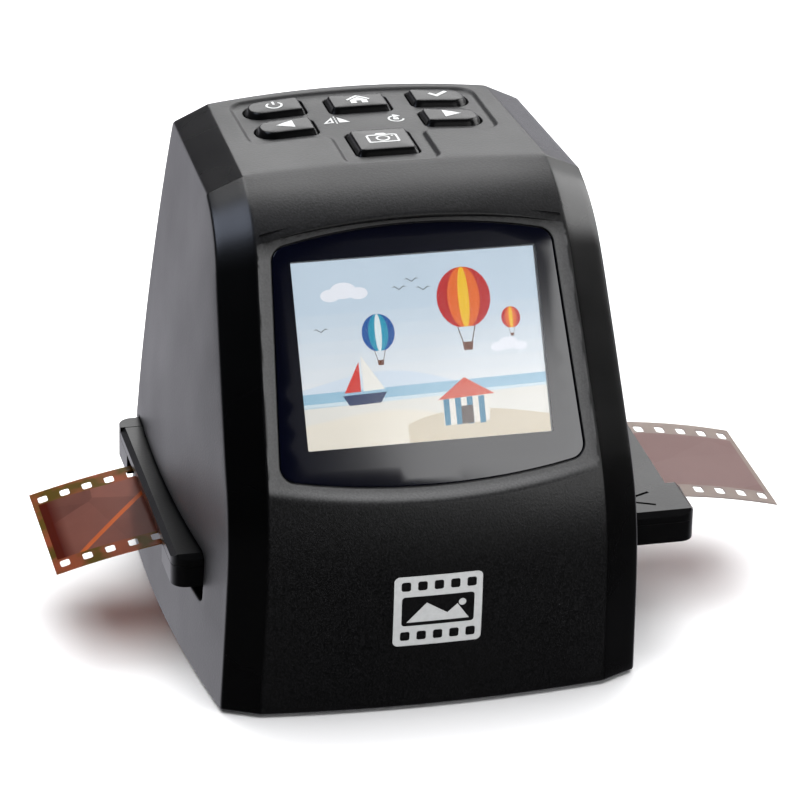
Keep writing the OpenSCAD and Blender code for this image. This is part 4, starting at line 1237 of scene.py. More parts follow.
def make_window():
    """A clear plate under a thin black gloss border with rounded edges, let into its pocket."""
    sheet = WINDOW_FACE - BORDER_T
    ease = bpy.context.scene.scanner_sizes.glass_edge

    def at(outline, height):
        return from_screen(outline[:, 0], outline[:, 1], height)

    w, h = PICTURE[0] + BORDER_IN, PICTURE[1] + BORDER_IN
    opening = box_outline(-w, -h, w, h, 0.3)
    inner, edge = window_outline(-ease), window_outline()
    flat, tris = triangulate(inner, [opening], 3.0)
    skin = Skin()
    skin.add(at(flat, WINDOW_FACE), tris)
    skin.add(at(flat, sheet), [t[::-1] for t in tris])
    rounding = bezier(at(inner, WINDOW_FACE), at(edge, WINDOW_FACE), at(edge, WINDOW_FACE - ease), 4)
    skirt = [at(edge, WINDOW_BACK), at(inner, WINDOW_BACK), at(inner, sheet)]
    skin.strip(rounding + skirt, closed=True)
    skin.strip([at(opening, height) for height in (WINDOW_FACE, sheet)], closed=True)
    into_piece("window_border", face_out(skin.mesh(0.001)), "case", look_of("print"))
    plate = Skin()
    add_plate(plate, window_outline(-ease - 0.01), [], 3.0,
              lambda outline: at(outline, sheet - AIR), lambda outline: at(outline, WINDOW_BACK))
    into_piece("window_glass", face_out(plate.mesh(0.001)), "case", look_of("window"),
               ["screen_window"])


def disc(x, y, r, count=24, squash=1.0):
    return [(x + r * math.cos(g), y + squash * r * math.sin(g))
            for g in (2 * math.pi * k / count for k in range(count))]


def hill(x0, x1, base, top, shift=0.0, count=18):
    """A dune or cloud bank: a smooth hump over a flat base."""
    crest = [(x0 + (x1 - x0) * k / count,
              base + (top - base) * math.sin(math.pi * (k / count) ** (1 + shift)))
             for k in range(count + 1)]
    return [(x0, base - 6), *crest, (x1, base - 6)]


def gores(x, y, r, colours, squash=1.12):
    """A balloon's envelope in coloured gores that meet at its crown and its mouth."""
    angles = np.linspace(-math.pi / 2 * 0.8, math.pi / 2, 14)

    def seam(part):
        return [(x + r * part * math.cos(g), y + squash * r * math.sin(g)) for g in angles]

    seams = [seam(-1 + 2 * k / len(colours)) for k in range(len(colours) + 1)]
    return [(left + right[::-1], colour) for left, right, colour in zip(seams, seams[1:], colours)]


def picture_shapes():
    """A generic seaside picture, back to front: outlines in millimetres and their colours."""
    sky, pale, sand = (0.8, 0.87, 0.92), (0.97, 0.97, 0.96), (0.93, 0.92, 0.88)
    w, h = PICTURE
    shapes = []
    bands = 14
    for k in range(bands):
        y0, y1 = -h + 2 * h * k / bands, -h + 2 * h * (k + 1) / bands
        t = min(1, k / 10)
        tone = tuple(pale[i] + (sky[i] - pale[i]) * t ** 1.5 for i in range(3))
        shapes.append(([(-w, y0), (w, y0), (w, y1), (-w, y1)], tone))
    shapes.append((hill(-26, 6, -6.8, -3.9, 0.2), (0.86, 0.91, 0.95)))
    shapes.append(([(-w, -7.4), (w, -6.6), (w, -9.6), (-w, -10.4)], (0.62, 0.78, 0.86)))
    shapes.append(([(-w, -9.4), (w, -8.6), (w, -9.3), (-w, -10.1)], (0.84, 0.91, 0.93)))
    shapes.append(([(-w, -10.2), (w, -9.2), (w, -h), (-w, -h)], sand))
    shapes.append((hill(-w, 4, -13.4, -11.6, 0.3), (0.95, 0.92, 0.85)))
    shapes.append((hill(-4, w, -14.8, -12.6, -0.2), (0.85, 0.8, 0.7)))
    for x, y, r in ((-17, 11.5, 2.0), (-14.4, 12.3, 2.6), (-11.4, 11.6, 1.9), (15.5, -1.0, 1.5),
                    (17.6, -0.4, 2.0), (20, -1.1, 1.4)):
        shapes.append((disc(x, y, r, squash=0.62), (0.97, 0.98, 1.0)))
    warm = [(0.75, 0.06, 0.07), (0.93, 0.42, 0.05), (0.98, 0.78, 0.1), (0.93, 0.42, 0.05), (0.75, 0.06, 0.07)]
    cool = [(0.05, 0.33, 0.62), (0.12, 0.6, 0.72), (0.9, 0.95, 0.95), (0.12, 0.6, 0.72), (0.05, 0.33, 0.62)]
    for x, y, r, colours in ((9.5, 9.2, 5.4, warm), (-8.2, 3.6, 3.3, cool), (18.6, 4.6, 1.9, warm[::-1])):
        shapes += gores(x, y, r, colours)
        mouth, low = y - r * 1.07, y - r * 1.62
        for side in (-1, 1):
            shapes.append(([(x + side * r * 0.3, mouth), (x + side * r * 0.34, mouth),
                            (x + side * r * 0.19, low), (x + side * r * 0.15, low)], (0.3, 0.2, 0.14)))
        shapes.append(([(x - r * 0.2, low), (x + r * 0.2, low), (x + r * 0.16, low - r * 0.3),
                        (x - r * 0.16, low - r * 0.3)], (0.42, 0.22, 0.1)))
    hull = [(-16.4, -8.2), (-7.6, -8.0), (-8.9, -10.0), (-15.2, -10.2)]
    shapes.append((hull, (0.12, 0.2, 0.36)))
    shapes.append(([(-12.2, -7.6), (-12.2, -0.6), (-7.9, -7.4)], (0.98, 0.97, 0.93)))
    shapes.append(([(-12.7, -7.6), (-12.7, -1.8), (-16.0, -7.7)], (0.86, 0.2, 0.14)))
    shapes.append(([(3.2, -15.6), (12.4, -15.2), (12.8, -10.0), (3.4, -10.4)], (0.95, 0.93, 0.88)))
    for k in range(4):
        x = 3.4 + k * 2.35
        shapes.append(([(x, -15.6), (x + 1.15, -15.5), (x + 1.2, -10.2), (x, -10.3)], (0.2, 0.5, 0.62)))
    shapes.append(([(2.4, -10.5), (13.8, -10.0), (8.0, -6.4)], (0.85, 0.32, 0.2)))
    shapes.append(([(6.8, -15.5), (9.2, -15.4), (9.3, -11.9), (6.9, -12.0)], (0.28, 0.2, 0.16)))
    for x, y in ((-3.2, 11.8), (-0.6, 13.2), (1.6, 11.4), (-19.5, 4.6)):
        for side in (-1, 1):
            shapes.append(([(x, y), (x + side * 0.9, y + 0.62), (x + side * 1.5, y + 0.35),
                            (x + side * 0.9, y + 0.42), (x, y - 0.2)], (0.35, 0.38, 0.42)))
    return shapes


DISPLAY_FACE = -1.1  # height of the display's front, in the window's frame
FIRST_LAYER, LAYER = 0.02, 0.0015  # the picture's shapes lie this far over it, and over each other


def make_picture():
    """The lit picture: flat shapes laid over each other on the panel's front."""
    w, h = PICTURE
    bm = bmesh.new()
    tone = bm.loops.layers.float_color.new("tone")
    for count, (outline, colour) in enumerate(picture_shapes()):
        outline = np.clip(np.array(outline, float), (-w, -h), (w, h))
        keep = np.linalg.norm(outline - np.roll(outline, 1, axis=0), axis=1) > 1e-4
        outline = outline[keep]
        height = DISPLAY_FACE + FIRST_LAYER + LAYER * count
        face = bm.faces.new([bm.verts.new(p) for p in from_screen(outline[:, 0], outline[:, 1], height)])
        face.normal_update()
        if face.normal.dot(Vector((0, *OUT_SCREEN))) < 0:
            face.normal_flip()
        for loop in face.loops:
            loop[tone] = (*(c ** 2.2 for c in colour), 1.0)
    corners = np.array([(-w, -h), (w, -h), (w, h), (-w, h)] * 2)
    heights = [DISPLAY_FACE] * 4 + [DISPLAY_FACE + 0.015] * 4
    plate = [bm.verts.new(p) for p in from_screen(corners[:, 0], corners[:, 1], heights)]
    for ids in ((3, 2, 1, 0), (4, 5, 6, 7), (0, 1, 5, 4), (1, 2, 6, 5), (2, 3, 7, 6), (3, 0, 4, 7)):
        face = bm.faces.new([plate[i] for i in ids])
        for loop in face.loops:
            loop[tone] = (0.9, 0.93, 0.95, 1.0)
    bmesh.ops.triangulate(bm, faces=bm.faces)
    into_piece("screen_picture", bm, "case", look_of("picture"), ["display"])


# ---------------------------------------------------------------- buttons
CAP_BEVEL = ((0, 0), (0.1, 0.01), (0.2, 0.04), (0.3, 0.1), (0.4, 0.2), (0.5, 0.34),
             (0.62, 0.54), (0.75, 0.77), (0.88, 0.99), (0.96, 1.12), (1, 1.25))
CAP_DOME = 0.22  # how far a cap's middle stands out
CAP_POINTS = 160  # along its outline
CAP_INNER_R = 0.5  # smallest corner inside its rounding
FLANGE_H, FLANGE_OUT = 1.6, 0.6
STEM_R, STEM_IN = 1.6, 0.3  # the stem's radius, and its reach into the flange


def cap_height(x, y):
    """Height of the caps' crowned surface over a place in plan."""
    return panel(x, at_depth(x, y), KEY_RISE)[..., 2]


def cap_top(key, x, y):
    """The same, with the dome in the middle of one cap."""
    away = np.maximum(((x - key.x) / (key.width / 2)) ** 2, ((y - key.y) / (key.depth / 2)) ** 2)
    return cap_height(x, y) + CAP_DOME * (1 - away.clip(0, 1))


def make_cap(name, key):
    """One button: crowned cap, skirt, retaining flange and stem."""
    edge = bpy.context.scene.scanner_sizes.cap_edge
    inner = key_outline(key, -edge)
    if min(key.left_r, key.right_r) < edge:
        left, right = (max(r, edge + CAP_INNER_R) for r in (key.left_r, key.right_r))
        inner = key_outline(key._replace(left_r=left, right_r=right), -edge)
    outlines = (inner, key_outline(key), key_outline(key, FLANGE_OUT))
    inner, outline, wide = (evenly(line, CAP_POINTS) for line in outlines)
    flat, tris = triangulate(inner, [], 0.8)
    skin = Skin()
    skin.add(raised(flat, cap_top(key, *flat.T)), tris)
    rim = raised(inner, cap_top(key, *inner.T))
    corner = raised(outline, cap_height(*outline.T) + 0.02)
    rows = [rim + (corner - rim) * across - [0, 0, edge * down] for across, down in CAP_BEVEL]
    shoulder = FLANGE_Z + FLANGE_H
    rows += [raised(outline, shoulder), raised(wide, shoulder), raised(wide, FLANGE_Z)]
    skin.strip(rows, closed=True)
    flat, tris = triangulate(wide, [], 3.0)
    skin.add(raised(flat, FLANGE_Z), tris)
    bm = skin.mesh(0.001)
    low, high = node_box(f"{name}_button")[0][2], FLANGE_Z + STEM_IN
    bmesh.ops.create_cone(bm, cap_ends=True, segments=32, radius1=STEM_R, radius2=STEM_R, depth=high - low,
                          matrix=Matrix.Translation((key.x, key.y, (high + low) / 2)))
    into_piece(f"{name}_cap", face_out(bm), name, look_of("cap"), [f"{name}_button"])


# ---------------------------------------------------------------- printed signs
def ring(x, y, outer, inner, start=0.0, stop=360.0, count=40):
    """A band along a circle, as one outline."""
    angles = np.radians(np.linspace(start, stop, count))
    far_side = [(x + outer * math.cos(g), y + outer * math.sin(g)) for g in angles]
    near_side = [(x + inner * math.cos(g), y + inner * math.sin(g)) for g in angles[::-1]]
    return far_side + near_side


def stroke(a, b, width):
    a, b = np.array(a, float), np.array(b, float)
    side = turned(unit(b - a)) * width / 2
    return [tuple(p) for p in (a - side, b - side, b + side, a + side)]


def signs():
    """The button of each printed sign, and the outlines of its parts with their holes, in millimetres."""
    return {
        "power_sign": ("power", [(ring(0, -0.2, 1.75, 1.32, 128, 412), []),
                                 (stroke((0, 0.1), (0, 2.0), 0.46), [])]),
        "home_sign": ("home", [
            ([(-2.5, 0.1), (0, 2.3), (2.5, 0.1), (2.15, -0.3), (0, 1.55), (-2.15, -0.3)], []),
            ([(-1.75, -0.35), (0, 1.15), (1.75, -0.35), (1.75, -2.0), (0.55, -2.0), (0.55, -0.8),
              (-0.55, -0.8), (-0.55, -2.0), (-1.75, -2.0)], [])]),
        "accept_sign": ("ok", [([(-2.1, 0.1), (-1.5, 0.7), (-0.5, -0.4), (1.8, 2.0), (2.35, 1.45),
                                 (-0.5, -1.5)], [])]),
        "back_sign": ("left", [([(-2.0, 0), (1.6, 1.9), (1.6, -1.9)], [])]),
        "forward_sign": ("right", [([(2.0, 0), (-1.6, -1.9), (-1.6, 1.9)], [])]),
        "camera_sign": ("capture", [
            (box_outline(-3.2, -2.3, 3.2, 1.9, 0.6), [box_outline(-2.75, -1.85, 2.75, 1.45, 0.35)]),
            (disc(0, -0.2, 1.45, 32), [disc(0, -0.2, 1.02, 28)]),
            ([(-1.2, 1.95), (1.2, 1.95), (0.8, 2.65), (-0.8, 2.65)], []),
            (disc(2.1, 0.9, 0.28, 12), [])]),
    }


def on_cap(key):
    """A function that puts places in plan on a button."""
    return lambda places, lift: raised(places, cap_top(key, *places.T) + lift)


def on_island(places, lift):
    """Puts places in plan on the sunk field between the buttons."""
    floor = panel(places[:, 0], at_depth(*places.T), -ISLAND_DEPTH)[..., 2]
    return raised(places, floor + lift)


def on_front(places, lift):
    """Puts places seen straight from the front on the panel."""
    run = find_run(places[:, 0], places[:, 1], lambda q: q[..., 2])
    return panel(places[:, 0], run, lift)


def print_sign(name, parts, centre, place, body, spacing=0.6, step=0.7, sink=0.03):
    """A thin print that follows the surface on which a function places it."""
    thick = bpy.context.scene.scanner_sizes.print_lift
    skin = Skin()
    for outline, holes in parts:
        outline, *holes = [spaced(np.array(line, float) + centre, spacing) for line in (outline, *holes)]
        add_plate(skin, outline, holes, step, lambda p: place(p, thick), lambda p: place(p, -sink))
    into_piece(name, face_out(skin.mesh(0.0005)), body, look_of("white"))


def make_signs():
    for name, (key_name, parts) in signs().items():
        key = KEYS[key_name]
        print_sign(name, parts, (key.x, key.y), on_cap(key), key_name)
    flip = [([(-0.55, -1.5), (-0.55, 1.5), (-2.7, -1.5)], [[(-0.95, -1.1), (-0.95, 0.35), (-1.95, -1.1)]]),
            ([(0.55, -1.5), (2.7, -1.5), (0.55, 1.5)], [])]
    flip += [(stroke((0, y), (0, y + 0.7), 0.28), []) for y in (-2.0, -0.9, 0.2, 1.3)]
    print_sign("mirror_sign", flip, (-6.4, 26.6), on_island, "case")
    turn = [(ring(0, 0, 1.7, 1.3, 100, 350), []),
            ([(-0.35, 2.45), (-0.35, 0.65), (1.15, 1.5)], []),
            (box_outline(-0.55, -0.55, 0.55, 0.55, 0.1), [])]
    print_sign("rotate_sign", turn, (5.9, 25.2), on_island, "case")


def make_badge():
    """A plain film-frame pictogram on the lower front."""
    x0, x1, z0, z1 = -9.4, 8.4, 15.0, 30.5
    holes = []
    for row in (z0 + 1.2, z1 - 3.2):
        for k in range(5):
            x = x0 + 1.45 + k * 3.3
            holes.append(box_outline(x, row, x + 1.9, row + 2.0, 0.45))
    holes.append(box_outline(x0 + 1.6, z0 + 4.5, x1 - 1.6, z1 - 4.5, 0.7))
    low = z0 + 5.3
    hills = [(x0 + 2.6, low), (x1 - 2.6, low), (x1 - 5.0, low + 3.4), (x1 - 7.0, low + 1.6),
             (x0 + 6.6, low + 4.2)]
    sun = disc(x1 - 4.0, z1 - 6.5, 0.75, 20)
    parts = [(box_outline(x0, z0, x1, z1, 1.1), holes), (hills, []), (sun, [])]
    print_sign("front_pictogram", parts, (0, 0), on_front, "case", 0.8, 0.9, 0.04)


# ---------------------------------------------------------------- repeated pieces by nodes
class Tree(Nodes):
    """A Geometry Nodes tree with named inputs, ending in Realize Instances and Set Material."""

    def __init__(self, name, **inputs):
        super().__init__(bpy.data.node_groups.new(name, "GeometryNodeTree"))
        face = self.tree.interface
        face.new_socket("Geometry", in_out="INPUT", socket_type="NodeSocketGeometry")
        face.new_socket("Geometry", in_out="OUTPUT", socket_type="NodeSocketGeometry")
        self.sockets, self.values = {}, inputs
        kinds = {float: "NodeSocketFloat", int: "NodeSocketInt", bpy.types.Object: "NodeSocketObject",
                 bpy.types.Material: "NodeSocketMaterial"}
        for label, value in inputs.items():
            kind = next(kinds[k] for k in kinds if isinstance(value, k))
            self.sockets[label] = face.new_socket(label, in_out="INPUT", socket_type=kind).identifier
        self.source = self.tree.nodes.new("NodeGroupInput")
        self.sink = self.tree.nodes.new("NodeGroupOutput")

    def given(self, label):
        return self.source.outputs[label]

    def finish(self, geometry):
        real = self.node("GeometryNodeRealizeInstances", {"Geometry": geometry}).outputs[0]
        done = self.node("GeometryNodeSetMaterial", {"Geometry": real, "Material": self.given("Finish")})
        self.join(done.outputs[0], self.sink.inputs[0])

    def run(self, name, base_mesh):
        """Evaluates the tree on a mesh and returns the plain result."""
        host = bpy.data.objects.new(name + "_host", base_mesh)
        bpy.context.collection.objects.link(host)
        modifier = host.modifiers.new("Nodes", "NODES")
        modifier.node_group = self.tree
        for label, value in self.values.items():
            modifier[self.sockets[label]] = value
        bpy.context.view_layer.update()
        graph = bpy.context.evaluated_depsgraph_get()
        result = bpy.data.meshes.new_from_object(host.evaluated_get(graph))
        host.modifiers.remove(modifier)
        bpy.data.objects.remove(host)
        return result


def helper(name, mesh):
    """A hidden object that a tree takes as its pattern; removed when the pieces are made."""
    obj = bpy.data.objects.new(name, mesh)
    bpy.context.collection.objects.link(obj)
    obj.hide_render = True
    return obj


def lathe(profile, count=40):
    """A closed turned shape round Z from points (radius, height), in metres."""
    bm = bmesh.new()
    rows = []
    for r, z in profile:
        if r < 1e-6:
            rows.append([bm.verts.new((0, 0, z))])
        else:
            angles = np.linspace(0, 2 * math.pi, count, endpoint=False)
            rows.append([bm.verts.new((r * math.cos(g), r * math.sin(g), z)) for g in angles])
    for a, b in zip(rows, rows[1:]):
        for k in range(count):
            ids = [a[k % len(a)], a[(k + 1) % len(a)], b[(k + 1) % len(b)], b[k % len(b)]]
            face = list(dict.fromkeys(ids))
            if len(face) > 2:
                bm.faces.new(face)
    face_out(bm)
    bmesh.ops.scale(bm, vec=(MM,) * 3, verts=bm.verts)
    return bm


THREAD_PITCH, THREAD_DEPTH = 0.55, 0.12


def screw_mesh(head_r, head_h, shank_r, shank_l):
    """A pan-head screw with a round recess; its seat is at the origin, the shank goes up."""
    e = 0.22 * head_h  # rounding of the head
    profile = [
        (0, -head_h * 0.62), (head_r * 0.35, -head_h * 0.66), (head_r * 0.42, -head_h),
        (head_r - e * 1.6, -head_h), (head_r - e * 0.5, -head_h + e * 0.4), (head_r, -head_h + e * 1.3),
        (head_r, -0.04), (head_r - 0.04, 0), (shank_r, 0),
    ]
    for k in range(int(shank_l / THREAD_PITCH) - 1):
        z = 0.4 + k * THREAD_PITCH
        profile += [(shank_r - THREAD_DEPTH, z), (shank_r, z + THREAD_PITCH / 2)]
    profile += [(shank_r - THREAD_DEPTH, shank_l - 0.35), (shank_r * 0.5, shank_l), (0, shank_l)]
    return as_mesh("screw_pattern", lathe(profile, 24))


def instances_of(node):
    """Boxes of the separate solids of a CAD node, in millimetres."""
    bm = cad_copy(node)
    left = set(bm.verts)
    boxes = []
    while left:
        group, queue = [], [left.pop()]
        while queue:
            vert = queue.pop()
            group.append(vert.co.copy())
            for edge in vert.link_edges:
                other = edge.other_vert(vert)
                if other in left:
                    left.discard(other)
                    queue.append(other)
        co = np.array(group)
        boxes.append((co.min(0), co.max(0)))
    bm.free()
    return sorted(boxes, key=lambda b: tuple(b[0].round(3)))


def underneath(boxes):
    """The middle of the underside of each box."""
    return [(*((low + high) / 2)[:2], low[2]) for low, high in boxes]


def spots_mesh(points, turn):
    """Loose points in metres, each with the turn its copy takes."""
    mesh = bpy.data.meshes.new("spots")
    mesh.from_pydata([tuple(np.array(p) * MM) for p in points], [], [])
    attribute = mesh.attributes.new("turn", "FLOAT_VECTOR", "POINT")
    for spot in attribute.data:
        spot.vector = turn
    return mesh


def repeat_at(name, pattern, points, turn, look, replaces):
    """Copies a pattern to every point with a Geometry Nodes tree."""
    stand = helper(name + "_pattern", pattern)
    tree = Tree(name + "_nodes", Pattern=stand, Size=1.0, Finish=look_of(look))
    shape = tree.node("GeometryNodeObjectInfo", {"Object": tree.given("Pattern")}).outputs["Geometry"]
    stored = tree.node("GeometryNodeInputNamedAttribute", {"Name": "turn"}, data_type="FLOAT_VECTOR")
    rotation = tree.node("FunctionNodeEulerToRotation", {0: stored.outputs[0]}).outputs[0]
    size = tree.node("ShaderNodeCombineXYZ", {k: tree.given("Size") for k in range(3)}).outputs[0]
    copies = tree.node("GeometryNodeInstanceOnPoints", {
        "Points": tree.source.outputs["Geometry"], "Instance": shape, "Rotation": rotation, "Scale": size})
    tree.finish(copies.outputs[0])
    mesh = tree.run(name, spots_mesh(points, turn))
    bpy.data.objects.remove(stand)
    bm = bmesh.new()
    bm.from_mesh(mesh)
    smooth_faces(bm)
    bm.to_mesh(mesh)
    bm.free()
    return place_mesh(name, mesh, "case", look_of(look), replaces)


UPWARD, FORWARD, TO_SCREEN = (0, 0, 0), (math.pi / 2, 0, 0), (math.pi / 2 - TILT, 0, 0)
LARGE_SCREW = (2.1, 1.1, 1.2, 6)  # radius and height of the head, radius and length of the shank
SMALL_SCREW = (1.8, 1, 0.9, 4.2)
SCREWS = {
    "rear_screws": (LARGE_SCREW, FORWARD),
    "base_screws": (LARGE_SCREW, UPWARD),
    "lcd_screws": (SMALL_SCREW, TO_SCREEN),
    "button_board_screws": (SMALL_SCREW, UPWARD),
    "main_board_screws": (SMALL_SCREW, UPWARD),
    "middle_frame_screws": (LARGE_SCREW, UPWARD),
}


def make_screws():
    """Every group of screws, each seated where its CAD solids are."""
    for node, (size, turn) in SCREWS.items():
        head_h, shank_l = size[1], size[3]
        axis = np.array(Matrix.Rotation(turn[0], 3, "X") @ Vector((0, 0, 1)))
        seats = [(low + high) / 2 - axis * (shank_l - head_h) / 2 for low, high in instances_of(node)]
        name = node.replace("_screws", "_screw_set")
        repeat_at(name, screw_mesh(*size), seats, turn, "steel", [node])


def make_feet():
    """The rubber feet, turned, with a hollow in their underside."""
    boxes = instances_of("rubber_feet")
    low, high = boxes[0]
    r, h = (high[0] - low[0]) / 2, high[2] - low[2]
    profile = [(0, 0.12), (r - 1.3, 0.12), (r - 0.9, 0), (r - 0.35, 0), (r - 0.06, 0.25),
               (r, 0.6), (r, h - 0.1), (r - 0.1, h), (0, h)]
    mesh = as_mesh("foot_pattern", lathe(profile, 48))
    repeat_at("foot_pads", mesh, underneath(boxes), UPWARD, "rubber", ["rubber_feet"])


def make_leds():
    """The diodes of the light unit, as blocks with rounded edges."""
    boxes = instances_of("backlight_leds")
    size = boxes[0][1] - boxes[0][0]
    bm = bmesh.new()
    bmesh.ops.create_cube(bm, size=1.0)
    bmesh.ops.scale(bm, vec=tuple(size * MM), verts=bm.verts)
    bmesh.ops.translate(bm, vec=(0, 0, size[2] / 2 * MM), verts=bm.verts)
    bmesh.ops.bevel(bm, geom=list(bm.edges), offset=0.12 * MM, segments=2, profile=0.5, affect="EDGES")
    mesh = as_mesh("led_pattern", bm)
    repeat_at("led_array", mesh, underneath(boxes), UPWARD, "led", ["backlight_leds"])


# ---------------------------------------------------------------- film
FILM_Y, FILM_Z = 9.2, 23.9  # the film's middle in the channel
FILM_W, FILM_T = 34.98, 0.2
PITCH, HOLES = 4.75, 32  # of the perforations, along each edge
HOLE_ALONG, HOLE_ACROSS, HOLE_IN, HOLE_R = 1.98, 2.79, 2.01, 0.5
FILM_FROM = 5.5 - HOLES * PITCH / 2
BEND_LEFT, BEND_RIGHT = -41.0, 52.0  # where the film begins to droop
LEFT_BENDS = (49.0, math.radians(9.8), 187.0)
RIGHT_BENDS = (71.0, math.radians(6.8), 145.0)  # first radius, its angle, and the radius after it
PATH_STEPS = 400


def droop(a, r1, g1, r2):
    """Run and drop of the film at a distance past the start of its bends."""
    first = r1 * g1
    g = a / r1 if a < first else g1 + (a - first) / r2
    if a < first:
        return r1 * math.sin(g), r1 * (1 - math.cos(g))
    return (r1 * math.sin(g1) + r2 * (math.sin(g) - math.sin(g1)),
            r1 * (1 - math.cos(g1)) + r2 * (math.cos(g1) - math.cos(g)))


def film_at(s):
    """Place and height of the film at a distance along it."""
    if s < BEND_LEFT:
        run, drop = droop(BEND_LEFT - s, *LEFT_BENDS)
        return BEND_LEFT - run, FILM_Z - drop
    if s > BEND_RIGHT:
        run, drop = droop(s - BEND_RIGHT, *RIGHT_BENDS)
        return BEND_RIGHT + run, FILM_Z - drop
    return s, FILM_Z


def film_cell():
    """One pitch of film in metres: a flat plate with a rounded hole near each edge."""
    half_w, half_t = FILM_W / 2, FILM_T / 2
    outline = spaced(np.array([(0, -half_w), (PITCH, -half_w), (PITCH, half_w), (0, half_w)]), 1.2)
    x, half_x, half_y = PITCH / 2, HOLE_ALONG / 2, HOLE_ACROSS / 2
    middle = half_w - HOLE_IN - half_y
    holes = [box_outline(x - half_x, y - half_y, x + half_x, y + half_y, HOLE_R) for y in (-middle, middle)]
    flat, tris = triangulate(outline, holes, 1.3)
    skin = Skin()
    skin.add(raised(flat, half_t), tris)
    skin.add(raised(flat, -half_t), [t[::-1] for t in tris])
    for loop in holes:
        skin.strip([raised(loop, half_t), raised(loop, -half_t)], closed=True)
    for y in (-half_w, half_w):
        line = outline[np.abs(outline[:, 1] - y) < 1e-6]
        skin.strip([raised(line, half_t), raised(line, -half_t)])
    bm = face_out(skin.mesh(0.001))
    bmesh.ops.scale(bm, vec=(MM,) * 3, verts=bm.verts)
    return as_mesh("film_cell", bm)


def film_path():
    """The line in which the film droops, as a hidden curve."""
    path = bpy.data.curves.new("film_path", "CURVE")
    path.dimensions = "3D"
    spline = path.splines.new("POLY")
    spline.points.add(PATH_STEPS)
    for k, point in enumerate(spline.points):
        x, z = film_at(FILM_FROM + HOLES * PITCH * k / PATH_STEPS)
        point.co = (x * MM, 0, z * MM, 1)
    line = bpy.data.objects.new("film_path", path)
    bpy.context.collection.objects.link(line)
    line.hide_render = True
    return line


def film_tree(cell, line):
    """Nodes that lay film out cell by cell, mark each point with its place on it, and bend it."""
    tree = Tree("film_nodes", Cell=cell, Path=line, Pitch=PITCH * MM, Count=HOLES,
                Start=FILM_FROM * MM, Depth=FILM_Y * MM, Finish=look_of("film"))
    shape = tree.node("GeometryNodeObjectInfo", {"Object": tree.given("Cell")}).outputs["Geometry"]
    step = tree.node("ShaderNodeCombineXYZ", {0: tree.given("Pitch")}).outputs[0]
    row = tree.node("GeometryNodeMeshLine", {"Count": tree.given("Count"), "Offset": step}).outputs[0]
    cells = tree.node("GeometryNodeInstanceOnPoints", {"Points": row, "Instance": shape}).outputs[0]
    cells = tree.node("GeometryNodeRealizeInstances", {"Geometry": cells}).outputs[0]
    cells = tree.node("GeometryNodeMergeByDistance", {"Geometry": cells, "Distance": 0.000002}).outputs[0]
    place = tree.node("ShaderNodeSeparateXYZ", {0: tree.node("GeometryNodeInputPosition").outputs[0]})
    along = tree.math("ADD", place.outputs[0], tree.given("Start"))
    for label, value in (("along", along), ("across", place.outputs[1])):
        cells = tree.node("GeometryNodeStoreNamedAttribute", {
            "Geometry": cells, "Name": label, "Value": value}, data_type="FLOAT", domain="POINT").outputs[0]
    curve = tree.node("GeometryNodeObjectInfo", {"Object": tree.given("Path")}).outputs["Geometry"]
    sample = tree.node("GeometryNodeSampleCurve", {"Curves": curve, "Length": place.outputs[0]},
                       mode="LENGTH", use_all_curves=True)
    slope = tree.node("ShaderNodeSeparateXYZ", {0: sample.outputs["Tangent"]})
    lift = tree.node("ShaderNodeCombineXYZ", {
        0: tree.math("MULTIPLY", tree.math("MULTIPLY", slope.outputs[2], -1.0), place.outputs[2]),
        1: tree.math("ADD", place.outputs[1], tree.given("Depth")),
        2: tree.math("MULTIPLY", slope.outputs[0], place.outputs[2])}).outputs[0]
    spot = tree.node("ShaderNodeVectorMath", {0: sample.outputs["Position"], 1: lift}, operation="ADD")
    bent = tree.node("GeometryNodeSetPosition", {"Geometry": cells, "Position": spot.outputs[0]})
    tree.finish(bent.outputs[0])
    return tree


def make_film():
    """The strip of film, closed at its two ends."""
    cell, line = helper("film_cell", film_cell()), film_path()
    mesh = film_tree(cell, line).run("film", bpy.data.meshes.new("film_base"))
    for obj in (cell, line):
        bpy.data.objects.remove(obj)
    bm = bmesh.new()
    bm.from_mesh(mesh)
    ends = [e for e in bm.edges if len(e.link_faces) == 1]
    bmesh.ops.holes_fill(bm, edges=ends, sides=0)
    face_out(bm)
    smooth_faces(bm)
    bm.to_mesh(mesh)
    bm.free()
    place_mesh("film", mesh, "film", look_of("film"), ["film_strip"])


# ---------------------------------------------------------------- mouldings and sockets
def weigh_normals(mesh, angle=50):
    """Corner normals that follow the larger faces, so that flat faces stay flat beside roundings."""
    limit = math.cos(math.radians(angle))
    around = [[] for _ in mesh.vertices]
    for face in mesh.polygons:
        for vertex in face.vertices:
            around[vertex].append((face.normal.copy(), face.area))
    normals = []
    for face in mesh.polygons:
        for vertex in face.vertices:
            total = Vector()
            for normal, area in around[vertex]:
                if normal.dot(face.normal) > limit:
                    total += normal * area
            normals.append(total.normalized())
    mesh.normals_split_custom_set(normals)


def eased_copy(name, node, width, look, body="case", segments=3):
    """A CAD node with its sharp edges rounded, which then stands for it."""
    bm = eased(cad_copy(node), width, segments)
    piece = into_piece(name, bm, body, look_of(look), [node])
    weigh_normals(piece.data)


def make_covers():
    edge = bpy.context.scene.scanner_sizes.cover_edge
    eased_copy("back_shell", "rear_cover", edge, "cover")
    eased_copy("bottom_plate", "base_plate", edge, "cover")


def make_tray():
    edge = bpy.context.scene.scanner_sizes.tray_edge
    eased_copy("tray_bottom", "tray_base", edge, "tray", "tray")
    eased_copy("tray_top", "tray_lid", edge, "tray", "tray")
    dress("tray_hinge_pin", "steel")


